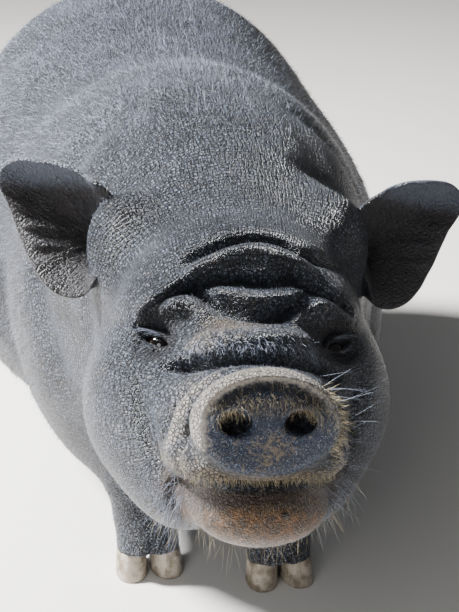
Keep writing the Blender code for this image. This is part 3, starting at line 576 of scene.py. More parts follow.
# Ears: cupped leaves whose upper edge rolls forward. The margin is outward and upward from the root, and
# each ear has its root in the head's frame, its side, and how far it leans in degrees.
EAR_MARGIN = (
    (-15, 12), (-8, 25), (6, 38), (26, 49), (48, 54), (66, 55), (77, 49), (78, 37), (71, 21),
    (63, 0), (53, -20), (42, -36), (28, -44), (14, -43), (5, -33), (-3, -18), (-12, -4),
)
EARS = {
    "right": ((-89, -190, 99), -1, 0),
    "left": ((100, -190, 92), 1, -9),
}
EAR_SWING, EAR_TILT = 14, 10
EAR_BOWL, EAR_BOWL_DEPTH = (12, -3), 25
EAR_ROOT, EAR_ROOT_DEPTH = (-18, -2), 31
EAR_THICK, EAR_ROLL, EAR_BACK_SWELL = 3.0, 7, 9
# Ridges inside the ear: rise, height above the root and half width.
EAR_RIDGES = ((1.3, 6, 3), (1.0, -8, 2.5), (1.0, 20, 3))
EAR_AROUND = 110
EAR_RINGS = np.concatenate((np.linspace(0.06, 0.84, 16), np.linspace(0.87, 1, 6)))


def ring_of(points, count):
    """Evenly spaced points on a smooth closed line through the given ones."""
    line = path([*points, points[0], points[1]], 12)[12 : -13]
    line = np.array([*line, line[0]])
    length = np.concatenate(([0], np.cumsum(np.linalg.norm(np.diff(line, axis=0), axis=1))))
    at = np.linspace(0, length[-1], count, endpoint=False)
    return np.stack([np.interp(at, length, line[:, k]) for k in range(line.shape[1])], 1)


def ear_axes(side, dip):
    swing, tilt, lean = math.radians(EAR_SWING), math.radians(EAR_TILT), math.radians(dip)
    facing = np.array([side * math.sin(swing), math.cos(swing) * math.cos(tilt), math.sin(tilt)])
    outward = np.array([side * math.cos(swing), -math.sin(swing), 0.0])
    outward -= (outward @ facing) * facing
    outward /= np.linalg.norm(outward)
    upward = np.array([0, 0, 1.0]) - facing[2] * facing
    upward /= np.linalg.norm(upward)
    leaned = outward * math.cos(lean) + upward * math.sin(lean)
    return leaned, upward * math.cos(lean) - outward * math.sin(lean), facing


def loft(rings, name):
    """A closed form through rings of as many points each, with its ends capped."""
    count = len(rings[0])
    corners = [tuple(p) for ring in rings for p in ring]
    faces = []
    for low in range(0, count * (len(rings) - 1), count):
        for i in range(count):
            after = (i + 1) % count
            faces.append((low + i, low + after, low + count + after, low + count + i))
    faces.append(tuple(range(count))[::-1])
    faces.append(tuple(range(len(corners) - count, len(corners))))
    mesh = bpy.data.meshes.new(name)
    mesh.from_pydata(corners, [], faces)
    form = bmesh.new()
    form.from_mesh(mesh)
    bmesh.ops.recalc_face_normals(form, faces=form.faces)
    form.to_mesh(mesh)
    form.free()
    mesh.shade_smooth()
    return add_object(name, mesh)


def ear(side):
    root, word, dip = EARS[side]
    outward, upward, facing = ear_axes(word, dip)
    margin = ring_of(EAR_MARGIN, EAR_AROUND)
    rolled = np.clip((margin[:, 1] - 8) / 30, 0, 1) * np.clip((margin[:, 0] + 20) / 30, 0, 1)
    forward = step(16, 4, margin[:, 0]) * 6 + EAR_ROLL * rolled
    forward -= 5 * np.clip((margin[:, 0] - 50) / 25, 0, 1)
    wave = 0.8 * np.sin(np.arange(EAR_AROUND) * 0.9) + 0.6 * np.sin(np.arange(EAR_AROUND) * 0.37 + 1)
    bowl, back = np.array(EAR_BOWL, float), np.array(EAR_ROOT, float)

    def placed(flat, depth):
        local = np.array(root) + flat[:, :1] * outward + flat[:, 1:] * upward
        return from_head(local + depth[:, None] * facing)

    rings = []
    for share in EAR_RINGS:
        flat = bowl + (margin - bowl) * share
        flat[:, 1] -= 3.5 * rolled * max(0, share - 0.8) * 5
        hollow = -EAR_BOWL_DEPTH * (1 - share) ** 1.5
        curl = EAR_ROLL * rolled * max(0, share - 0.7) / 0.3
        depth = hollow + (forward - EAR_ROLL * rolled) * share + curl + 0.4 * wave * share
        fades = step(10, 30, flat[:, 0]) * step(1, 0.8, share)
        for rise, high, width in EAR_RIDGES:
            depth += rise * bump(flat[:, 1] - high, width) * fades
        rings.append(placed(flat, depth))
    away = (margin - bowl) / np.linalg.norm(margin - bowl, axis=1)[:, None]
    for swell, drop in ((0.9, 0.5), (1.2, 1.5), (0.9, 2.5)):
        edge = margin + away * swell
        edge[:, 1] -= 1.5 * rolled
        rings.append(placed(edge, forward - drop * EAR_THICK / 3 + 0.4 * wave))
    for share in EAR_RINGS[::-1]:
        flat = back + (margin - back) * share
        swell = EAR_BACK_SWELL * math.sin(math.pi * share) ** 0.8
        depth = -EAR_ROOT_DEPTH * (1 - share) - EAR_THICK - swell
        rings.append(placed(flat, depth + forward * share**2 + 0.4 * wave * share))
    return loft(rings, "ear " + side)


# The tail hangs straight from the top of the rump: places along it and its radius there.
TAIL_AROUND = 28
TAIL = ((0, 560, 322, 11), (0, 590, 317, 10), (2, 610, 300, 9), (4, 619, 262, 7.5), (5, 622, 215, 6),
        (5, 623, 175, 5), (5, 624, 150, 3.5), (5, 624, 146, 1))


def tube(line, around, name):
    """A round form through centres with radii, in metres, its rings square to its path."""
    line = np.array(line, float)
    rings = []
    for (x, y, z, radius), way in zip(line, np.gradient(line[:, :3], axis=0)):
        way = Vector(way).normalized()
        across = way.cross(Vector((1, 0.1, 0))).normalized()
        over = way.cross(across)
        ring = []
        for angle in np.linspace(0, 2 * math.pi, around, endpoint=False):
            ring.append(Vector((x, y, z)) + (across * math.cos(angle) + over * math.sin(angle)) * radius)
        rings.append(ring)
    return loft(rings, name)


tail_line = path(np.array(TAIL), 10)
tail_line = np.concatenate((from_stance(tail_line[:, :3]), tail_line[:, 3:] * MM), 1)
grown = [ear("right"), ear("left"), tube(tail_line, TAIL_AROUND, "tail root")]
for thing in grown:
    modifier = hide.modifiers.new("grown on", "BOOLEAN")
    modifier.operation = "UNION"
    modifier.solver = "MANIFOLD"
    modifier.object = thing
    evaluated(hide)

# Where the ears and the tail grow out, the skin is smoothed, so no line shows at their roots.
EAR_SEAM, TAIL_SEAM, TAIL_REACH = 62 * MM, 20 * MM, 30 * MM
SEAM_DEPTH, SEAM_FROM_MIDDLE, SEAM_ROUNDS = 4, 52, 8
points, edges = points_of(hide.data), edges_of(hide.data)
tail_near = np.full(len(points), 1e9)
near, apart, _ = nearest_on(points, tail_line[:, :3], TAIL_REACH)
tail_near[near] = apart
roots = [from_head([EARS[side][0]])[0] for side in EARS]
beside = np.minimum.reduce([np.linalg.norm(points - root, axis=1) for root in roots])
seam = (np.abs(flesh_distance(points)) < SEAM_DEPTH) & ((beside < EAR_SEAM) | (tail_near < TAIL_SEAM))
seam &= (np.abs(to_head(points)[:, 0]) > SEAM_FROM_MIDDLE) | (tail_near < TAIL_REACH)
for thing in grown:
    bpy.data.objects.remove(thing)
for _ in range(SEAM_ROUNDS):
    points[seam] += 0.5 * (neighbours_mean(points, edges) - points)[seam]
put_points(hide.data, points)
hide.data.shade_smooth()
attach(hide, "root")
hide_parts("head", "snout", "jaw", "neck", "chest", "belly", "rump", "ear_left", "ear_right", "tail")
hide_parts("foreleg_left", "foreleg_right", "hindleg_left", "hindleg_right")

# Where the hide's surface changes: pale dust on what the light and the ground reach, with painted light on
# the snout's rim and rolls where they face the key, damp blue-grey on the bare disc, ochre mud on the chin,
# brown inside the ears and round the eyes, a painted highlight on each ear's upper edge, and painted shade
# in the folds, the hollow under the disc's rim and the nostrils.
GIRTH_RADIUS = 115


def angle_round(stance):
    """The angle of each place round the line that runs from the snout to the middle of the rump."""
    level = np.interp(stance[:, 1], (-300, 60, 600), (295, 230, 220))
    sideways = stance[:, 0] + 22 * step(-100, -300, stance[:, 1])
    return np.arctan2(sideways, stance[:, 2] - level)


x, forward, up = to_head(points).T
lie_along = np.linalg.norm(to_head(points) - np.array(DISC_CENTRE), axis=1)
lie_angle = angle_round(to_stance(points))
pressed, fold_shade_depth = np.zeros(len(points)), np.zeros(len(points))
face = np.nonzero((forward > FACE_BACK) & (np.abs(x) < 110))[0]
unpressed = to_head(onto_flesh(points[face], 3))
pressed[face] = fold_depth(unpressed)
fold_shade_depth[face] = fold_depth(unpressed, True)
reach = np.hypot(x / DISC_HALF[0], (up - DISC_CENTRE[2]) / DISC_HALF[1])
front = step(-20, -10, forward)
lit = np.clip(0.55 + up / 60 - x / 90, 0, 1)
eyes_by = np.minimum.reduce([np.linalg.norm(points - eye[0], axis=1) for eye in EYE_FRAMES.values()]) / MM
nostril_by = np.full(len(points), 1e9)
for centre_x, centre_up, _ in NOSTRILS:
    across, high = (x - centre_x) / NOSTRIL_HALF[0], (up - centre_up) / NOSTRIL_HALF[1]
    nostril_by = np.minimum(nostril_by, np.hypot(across, high))
muzzle = step(-78, -60, forward) * step(-44, -34, up)
chin = step(-80, -60, forward) * step(-44, -50, up + 0.12 * forward)
# The right side of the snout faces the key light; its pale mark is partly dust and partly painted light.
lit_snout_side = bump(x + 48, 20) * bump(forward + 40, 20) * step(-40, -16, up)
ridges = step(0.3, -3.0, pressed)
in_ear = np.zeros(len(points))
ear_edge_highlight = np.zeros(len(points))
normals = np.empty(len(points) * 3, np.float32)
hide.data.vertex_normals.foreach_get("vector", normals)
normals = normals.reshape(-1, 3).astype(float)
for side, (root, word, dip) in EARS.items():
    outward, upward, facing = ear_axes(word, dip)
    offset = to_head(points) - root
    flat_out, flat_up = offset @ outward, offset @ upward
    leaf = step(-14, 0, flat_out) * step(95, 85, np.hypot(flat_out - 30, flat_up))
    leaf *= (np.abs(offset @ facing) < 45) & (flesh_distance(points) > 0.5)
    toward = normals @ (facing @ HEAD)
    in_ear = np.maximum(in_ear, leaf * step(0.0, 0.35, toward))
    # Painted highlight along the upper back edge of each ear, where the key light from behind reaches it.
    ear_edge_highlight = np.maximum(ear_edge_highlight, leaf * step(24, 44, flat_up) * step(-0.6, 0.0, toward))
bare = front * step(1.0, 0.86, reach)
dome = step(-60, -110, forward) * step(10, 50, up) * step(360, 230, lie_along)
# Painted light: the rim's pale dust is made brighter towards the top and the animal's right, where the key
# light falls.
rim_dust_and_light = 1.6 * front * bump(reach - 1.0, 0.16) * (0.35 + 0.65 * lit) * step(-24, -6, up)
# The rolls are paled partly as dust and partly as painted highlight on what stands proud.
roll_dust_and_light = lit_snout_side * (0.55 + 0.5 * ridges) + 0.22 * ridges * step(-150, -90, forward)
bridge_dust = 0.85 * bump(x + 16, 30) * bump(forward + 70, 18) * step(30, 40, up)
lip_dust = muzzle * (1.1 * bump(up + 37, 7) + 0.5 * bump(up + 26, 12) * step(-20, -40, x))
MARKS = {
    "lie_along": lie_along,
    "lie_across": lie_angle * GIRTH_RADIUS,
    # Painted shade: the skin is darkened where the creases of the face press deepest.
    "folds": step(4.0, 10.0, fold_shade_depth),
    "dust_and_light": np.clip(rim_dust_and_light + roll_dust_and_light, 0, 1),
    "tan_dust": np.clip(bridge_dust + lip_dust, 0, 1),
    "bare": bare,
    "haired": (1 - 0.85 * bare) * (1 - 0.7 * in_ear) * (1 - 0.5 * chin),
    "damp": bare * step(8, -2, up),
    # Painted shade in the hollow under the disc's upper rim.
    "hollow": front * bump(reach - 0.74, 0.13) * step(4, 16, up),
    # Painted shade: the inside of each nostril pit is made near black.
    "nostril": front * step(1.05, 0.85, nostril_by),
    "chin": chin,
    "disc_dirt": 0.75 * front * bump(x - 2, 15) * bump(up + 16, 12),
    "ochre": chin * step(-46, -61, up + 0.006 * x * x),
    "mole": bump(np.linalg.norm(to_head(points) - np.array(MOLE), axis=1), 3.2),
    "inner_ear": in_ear,
    "ear_edge_highlight": ear_edge_highlight,
    "lids": step(25, 10, eyes_by),
    "net": (0.3 + 0.7 * dome) * (1 - bare) * (1 - 0.8 * in_ear) * (1 - 0.8 * muzzle) * (1 - chin),
}
for name, values in MARKS.items():
    mark = hide.data.attributes.new(name, "FLOAT", "POINT")
    mark.data.foreach_set("value", values.astype(np.float32))


def linear(code):
    """An sRGB hex colour as linear red, green, blue and alpha."""
    shares = [int(code[i : i + 2], 16) / 255 for i in (1, 3, 5)]
    return (*[s / 12.92 if s <= 0.04045 else ((s + 0.055) / 1.055) ** 2.4 for s in shares], 1)


def node(tree, kind, inputs=(), out=0, **settings):
    """Adds a node with its settings, fills its live inputs by name or place, and gives one output."""
    made = tree.nodes.new("ShaderNode" + kind)
    for key, value in settings.items():
        setattr(made, key, value)
    live = [socket for socket in made.inputs if socket.enabled]
    for key, value in dict(inputs).items():
        socket = live[key] if isinstance(key, int) else next(s for s in live if s.name == key)
        if isinstance(value, bpy.types.NodeSocket):
            tree.links.new(value, socket)
        else:
            socket.default_value = value
    given = [socket for socket in made.outputs if socket.enabled]
    return given[out] if isinstance(out, int) else next(s for s in given if s.name == out)


def new_material(name):
    made = bpy.data.materials.new(name)
    made.use_nodes = True
    return made, made.node_tree, made.node_tree.nodes["Principled BSDF"]


# Living skin is charcoal with a soft shine. A net of fine wrinkles breaks that shine into silvery flecks,
# and its lines and the pore edges carry painted shade.
# Dry dust dulls what stands proud, and painted light brightens the snout's rim and rolls on the side that
# faces the key, so they look pale beside the damp disc.
HIDE_DARK, HIDE_LIGHT, GROOVE_SHADE_AND_MOLE = linear("#08090c"), linear("#727b8d"), linear("#070708")
PALE_DUST_AND_LIGHT, DUST_TAN = linear("#b8afa3"), linear("#8f7f68")
DISC_BLUE, DISC_FLECK, DISC_HOLLOW_SHADE = linear("#273147"), linear("#7c889c"), linear("#101216")
CHIN_DARK, OCHRE, OCHRE_DARK = linear("#4f3e2d"), linear("#7f5932"), linear("#4f3922")
EAR_BROWN, LID_BROWN, NOSTRIL_SHADE = linear("#1c1514"), linear("#191213"), linear("#0f090d")
ARC_PERIOD, CROSS_PERIOD, NET_WANDER = 2.9, 2.6, 9.0
SMOOTH = {"interpolation_type": "SMOOTHSTEP"}
hide_skin, tree, shader = new_material("thick charcoal pig skin")
along = node(tree, "Attribute", out="Fac", attribute_name="lie_along")
across = node(tree, "Attribute", out="Fac", attribute_name="lie_across")
place = node(tree, "CombineXYZ", {"X": along, "Y": across})
position = node(tree, "TexCoord", out="Object")
patches = node(tree, "TexNoise", {"Vector": position, "Scale": 1 / (40 * MM), "Detail": 3.0})
fine = {"Vector": position, "Scale": 1 / (2.0 * MM), "Detail": 3.0, "Roughness": 0.6}
speckle = node(tree, "TexNoise", fine)
flecks = node(tree, "TexNoise", {"Vector": position, "Scale": 1 / (0.9 * MM), "Detail": 1.0})
coarse = {"Vector": position, "Scale": 1 / (6 * MM), "Detail": 4.0, "Roughness": 0.6}
clods = node(tree, "TexNoise", coarse)
wander = node(tree, "TexNoise", {"Vector": place, "Scale": 1 / 22, "Detail": 3.0})
cross_wander = node(tree, "TexNoise", {"Vector": place, "Scale": 1 / 13, "Detail": 3.0})
net = None
for value, period, drift in ((along, ARC_PERIOD, wander), (across, CROSS_PERIOD, cross_wander)):
    drift = node(tree, "Math", {0: drift, 1: NET_WANDER}, operation="MULTIPLY")
    phase = node(tree, "Math", {0: value, 1: math.pi / period, 2: drift}, operation="MULTIPLY_ADD")
    wave = node(tree, "Math", {0: node(tree, "Math", {0: phase}, operation="SINE")}, operation="ABSOLUTE")
    line = node(tree, "MapRange", {"Value": wave, "From Min": 0.58, "From Max": 0.12}, **SMOOTH)
    net = line if net is None else node(tree, "Math", {0: net, 1: line}, operation="MAXIMUM")
net_by = node(tree, "Attribute", out="Fac", attribute_name="net")
net = node(tree, "Math", {0: net, 1: net_by}, operation="MULTIPLY")
cells = {"Vector": position, "Scale": 1 / (2.7 * MM)}
pores = node(tree, "TexVoronoi", cells, feature="DISTANCE_TO_EDGE")
pores = node(tree, "MapRange", {"Value": pores, "From Min": 0.2, "From Max": 0.02}, **SMOOTH)
covered = node(tree, "Attribute", out="Fac", attribute_name="haired")
pores = node(tree, "Math", {0: pores, 1: covered}, operation="MULTIPLY")
stretched = node(tree, "VectorMath", {0: place, 1: (0.2, 1.5, 1.0)}, operation="MULTIPLY")
streaks = node(tree, "TexNoise", {"Vector": stretched, "Scale": 1.0, "Detail": 2.0, "Roughness": 0.6})
grain = node(tree, "Math", {0: speckle, 1: streaks}, operation="ADD")
grain = node(tree, "Math", {0: patches, 1: 0.35, 2: grain}, operation="MULTIPLY_ADD")
grain = node(tree, "MapRange", {"Value": grain, "From Min": 1.08, "From Max": 1.34}, **SMOOTH)
colour = node(tree, "Mix", {"Factor": grain, "A": HIDE_DARK, "B": HIDE_LIGHT}, data_type="RGBA")
fleck_by = node(tree, "MapRange", {"Value": flecks, "From Min": 0.56, "From Max": 0.7}, **SMOOTH)
disc_colour = node(tree, "Mix", {"Factor": fleck_by, "A": DISC_BLUE, "B": DISC_FLECK}, data_type="RGBA")
clod_by = node(tree, "MapRange", {"Value": clods, "From Min": 0.4, "From Max": 0.62}, **SMOOTH)
ochre_colour = node(tree, "Mix", {"Factor": clod_by, "A": OCHRE_DARK, "B": OCHRE}, data_type="RGBA")
rough_edge = node(tree, "Math", {0: speckle, 1: clods}, operation="ADD")
rough_edge = node(tree, "Math", {0: rough_edge, 1: 1.0}, operation="SUBTRACT")
# Mark, how ragged its edge is, where it starts and where it is whole, how far it covers, and its colour.
COVERS = (
    ("tan_dust", 1.4, 0.2, 1.0, 0.8, DUST_TAN),
    ("bare", 0.2, 0.3, 0.9, 1.0, disc_colour),
    # Painted shade in the hollow under the disc's upper rim.
    ("hollow", 0.2, 0.2, 0.9, 0.85, DISC_HOLLOW_SHADE),
    ("chin", 0.3, 0.2, 0.9, 0.8, CHIN_DARK),
    # Pale dust together with painted light on the snout's rim and rolls.
    ("dust_and_light", 1.2, 0.15, 0.95, 0.85, PALE_DUST_AND_LIGHT),
    ("disc_dirt", 2.2, 0.3, 1.0, 0.85, DUST_TAN),
    ("ochre", 0.7, 0.2, 0.9, 0.9, ochre_colour),
    ("mole", 0.0, 0.3, 0.8, 0.9, GROOVE_SHADE_AND_MOLE),
    ("inner_ear", 0.2, 0.1, 0.9, 0.9, EAR_BROWN),
    # Painted highlight on the upper back edge of the ears.
    ("ear_edge_highlight", 0.6, 0.2, 1.2, 0.5, HIDE_LIGHT),
    ("lids", 0.3, 0.1, 0.9, 0.85, LID_BROWN),
    # Painted shade in the creases of the face.
    ("folds", 0.9, 0.1, 1.0, 0.75, GROOVE_SHADE_AND_MOLE),
    # Painted shade inside the nostrils.
    ("nostril", 0.1, 0.2, 0.8, 1.0, NOSTRIL_SHADE),
)
for name, ragged, start, whole, most, over in COVERS:
    amount = node(tree, "Attribute", out="Fac", attribute_name=name)
    amount = node(tree, "Math", {0: rough_edge, 1: ragged, 2: amount}, operation="MULTIPLY_ADD")
    limits = {"Value": amount, "From Min": start, "From Max": whole, "To Max": most}
    amount = node(tree, "MapRange", limits, **SMOOTH)
    colour = node(tree, "Mix", {"Factor": amount, "A": colour, "B": over}, data_type="RGBA")
# Painted shade: the lines of the wrinkle net and the edges of the pores are darkened as if shaded in their
# grooves.
pore_shade = node(tree, "Math", {0: pores, 1: 0.95}, operation="MULTIPLY")
net_shade = node(tree, "Math", {0: net, 1: pore_shade}, operation="MAXIMUM")
net_shade = node(tree, "Math", {0: net_shade, 1: 0.97}, operation="MULTIPLY")
colour = node(tree, "Mix", {"Factor": net_shade, "A": colour, "B": GROOVE_SHADE_AND_MOLE}, data_type="RGBA")
tree.links.new(colour, shader.inputs["Base Color"])
damp = node(tree, "Attribute", out="Fac", attribute_name="damp")
roughness = node(tree, "Math", {0: speckle, 1: 0.36, 2: 0.21}, operation="MULTIPLY_ADD")
roughness = node(tree, "Math", {0: damp, 1: -0.16, 2: roughness}, operation="MULTIPLY_ADD")
tree.links.new(roughness, shader.inputs["Roughness"])
shader.inputs["IOR"].default_value = 1.45
shader.inputs["Sheen Weight"].default_value = 0.06
shader.inputs["Sheen Roughness"].default_value = 0.4
shader.inputs["Sheen Tint"].default_value = linear("#c9d8f2")
height = node(tree, "Math", {0: streaks, 1: 0.8, 2: speckle}, operation="MULTIPLY_ADD")
height = node(tree, "Math", {0: net, 1: -1.3, 2: height}, operation="MULTIPLY_ADD")
height = node(tree, "Math", {0: pores, 1: -0.7, 2: height}, operation="MULTIPLY_ADD")
relief = node(tree, "Bump", {"Height": height, "Strength": 1.0, "Distance": 2.0 * MM})
tree.links.new(relief, shader.inputs["Normal"])
hide.data.materials.clear()
hide.data.materials.append(hide_skin)

# Bristles: short, straight and fine, lying flat and back from the snout over the hide and down the legs.
# Keratin, dark at heart and silvery where it shines. Each is a closed tapered sliver rooted in the skin.
hide.data.calc_loop_triangles()
corners_of = np.empty(len(hide.data.loop_triangles) * 3, np.int32)
hide.data.loop_triangles.foreach_get("vertices", corners_of)
corners_of = corners_of.reshape(-1, 3)
middles = points[corners_of].mean(1)
first, second, third = (points[corners_of[:, k]] for k in range(3))
areas = np.linalg.norm(np.cross(second - first, third - first), axis=1) / 2
middle_x, middle_y, middle_z = to_stance(middles).T
bald = np.maximum.reduce([MARKS[name] for name in ("bare", "nostril", "inner_ear", "lids", "folds")])
bald = np.maximum(bald, front * bump(reach - 1.0, 0.2))[corners_of].mean(1)
from_snout = MARKS["lie_along"][corners_of].mean(1)
crown = dome[corners_of].mean(1)
leg_share = step(120, 95, middle_z) * (np.abs(middle_x) > 25) * ((middle_y < 110) | (middle_y > 430))
HAIR_ROOT = 0.35 * MM
HIDE_LENGTH = 960.0
PATCH_RADIUS = 0.0012


def unit(vectors):
    return vectors / (np.linalg.norm(vectors, axis=1)[:, None] + 1e-12)


def scatter(count, chance, random):
    """Random places on the hide, likelier where chance is high, with the way the skin faces there."""
    odds = areas * chance
    chosen = random.choice(len(odds), count, p=odds / odds.sum())
    shares = random.dirichlet((1, 1, 1), count)
    picked = corners_of[chosen]
    roots = (points[picked] * shares[:, :, None]).sum(1)
    return roots, unit((normals[picked] * shares[:, :, None]).sum(1))


def lie(roots, outs):
    """The way the coat lies: back from the snout, down the flanks and down the legs."""
    stance = to_stance(roots)
    way = unit(stance - (DISC_AT + np.array((0, 0, -6))))
    way[:, 2] -= 0.8 * step(-60, 80, stance[:, 1]) * np.clip(np.abs(stance[:, 0]) / 150, 0, 1)
    way[:, 2] -= 2.5 * step(130, 90, stance[:, 2])
    way -= (way * outs).sum(1)[:, None] * outs
    return unit(way)


def patch_of(roots):
    """The place of each root on the hide unrolled: round the animal, and back from its snout."""
    stance = to_stance(roots)
    around = angle_round(stance) / (2 * math.pi) + 0.5
    back = np.linalg.norm(stance - DISC_AT, axis=1) / HIDE_LENGTH
    return 0.01 + 0.975 * np.stack([around, np.clip(back, 0, 1)], 1)


def grow(name, roots, ways, outs, lengths, half_widths, levels, bends, tones, finish):
    """Closed three-sided hairs, each tapered to its tip; its faces share a patch of the unrolled hide."""
    across = unit(np.cross(ways, outs))
    over = np.cross(across, ways)
    rings = []
    for share in np.arange(levels) / levels:
        middle = roots + ways * (lengths * share)[:, None] + bends * share**2
        half = half_widths * (1 - share) ** 0.6
        for angle in (90, 210, 330):
            turn = math.radians(angle)
            rings.append(middle + (across * math.cos(turn) + over * math.sin(turn)) * half[:, None])
    rings.append(roots + ways * lengths[:, None] + bends)
    corners = np.stack(rings, 1)
    faces = [(0, 2, 1)]
    for low in range(0, 3 * (levels - 1), 3):
        for i in range(3):
            after = (i + 1) % 3
            faces += [(low + i, low + after, low + 3 + after), (low + i, low + 3 + after, low + 3 + i)]
    last = 3 * (levels - 1)
    faces += [(last + i, last + (i + 1) % 3, last + 3) for i in range(3)]
    count, each = len(roots), corners.shape[1]
    loops = (np.arange(count)[:, None, None] * each + np.array(faces)).reshape(-1).astype(np.int32)
    mesh = bpy.data.meshes.new(name)
    mesh.vertices.add(count * each)
    mesh.vertices.foreach_set("co", corners.astype(np.float32).ravel())
    mesh.loops.add(len(loops))
    mesh.loops.foreach_set("vertex_index", loops)
    mesh.polygons.add(len(loops) // 3)
    mesh.polygons.foreach_set("loop_start", np.arange(0, len(loops), 3, dtype=np.int32))
    mesh.update(calc_edges=True)
    turns = np.arange(each) * 2.1
    spread = PATCH_RADIUS * np.stack([np.cos(turns), np.sin(turns) * (1 - np.arange(each) / each)], 1)
    places = patch_of(roots)[:, None, :] + spread
    layer = mesh.uv_layers.new(name="OFBake")
    layer.data.foreach_set("uv", places.reshape(-1, 2)[loops].astype(np.float32).ravel())
    tone = mesh.attributes.new("tone", "FLOAT", "POINT")
    tone.data.foreach_set("value", np.repeat(tones, each).astype(np.float32))
    mesh.materials.append(finish)
    hair = add_object(name, mesh)
    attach(hair, "root")


def bristle(name, dark, pale, roughness):
    """Keratin: a hard smooth fibre, so it shines along its length and hardly scatters."""
    made, tree, shader = new_material(name)
    tone = node(tree, "Attribute", out="Fac", attribute_name="tone")
    colour = node(tree, "Mix", {"Factor": tone, "A": linear(dark), "B": linear(pale)}, data_type="RGBA")
    tree.links.new(colour, shader.inputs["Base Color"])
    shader.inputs["Roughness"].default_value = roughness
    shader.inputs["IOR"].default_value = 1.55
    return made


SILVER_BRISTLE = bristle("silvery keratin bristle", "#0a0b0e", "#aab4c8", 0.34)
haired = (1 - bald) * (1 - 0.75 * crown)
on_face = step(-40, -70, middle_y) * step(215, 190, from_snout) * haired
on_nape = step(-140, -90, middle_y) * step(60, 30, middle_y) * haired
on_back = step(20, 50, middle_y) * step(200, 240, middle_z)
on_flanks = step(20, 50, middle_y) * step(240, 200, middle_z) * (1 - leg_share)
on_legs = leg_share * step(28, 34, middle_z)
# Name, how many, where, length in millimetres, how far they stand up in degrees, half width, shine, seed.
COAT = (
    ("coat_face", 30000, on_face, (2.5, 5.0), (4, 15), 0.13, 0.75, 11),
    ("coat_nape", 20000, on_nape, (3, 6), (4, 13), 0.14, 0.8, 12),
    ("coat_back", 48000, on_back, (6, 12), (4, 15), 0.19, 1.0, 13),
    ("coat_flanks", 32000, on_flanks, (6, 12), (4, 16), 0.19, 0.9, 14),
    ("coat_legs", 8000, on_legs, (4, 7), (5, 15), 0.17, 0.7, 15),
)
RAISED_SHARE, RAISED_MORE = 0.08, 2.2
for name, count, chance, lengths, rises, half, shine, seed in COAT:
    random = np.random.default_rng(seed)
    roots, outs = scatter(count, chance, random)
    flat = unit(lie(roots, outs) + random.normal(0, 0.2, (count, 3)))
    rise = np.radians(random.uniform(*rises, count))
    rise *= np.where(random.random(count) < RAISED_SHARE, RAISED_MORE, 1)
    ways = unit(flat * np.cos(rise)[:, None] + outs * np.sin(rise)[:, None])
    size = random.uniform(*lengths, count) * MM
    tones = random.beta(0.8, 2.2, count) * shine
    widths, straight = np.full(count, half * MM), np.zeros((count, 3))
    roots -= outs * HAIR_ROOT
    grow(name, roots, ways, outs, size, widths, 1, straight, tones, SILVER_BRISTLE)

# Longer hairs of the face: straw-coloured ones over the nostrils and round the lips, a pale fringe over the
# crease of the snout, stiff whiskers, and tufts at the corners of the mouth. They are keratin too, and grow
# from the skin singly and unevenly.
STRAW_BRISTLE = bristle("straw-coloured keratin bristle", "#5c4c33", "#d3c5a2", 0.42)
hide_tree = BVHTree.FromPolygons(points.tolist(), corners_of.tolist())
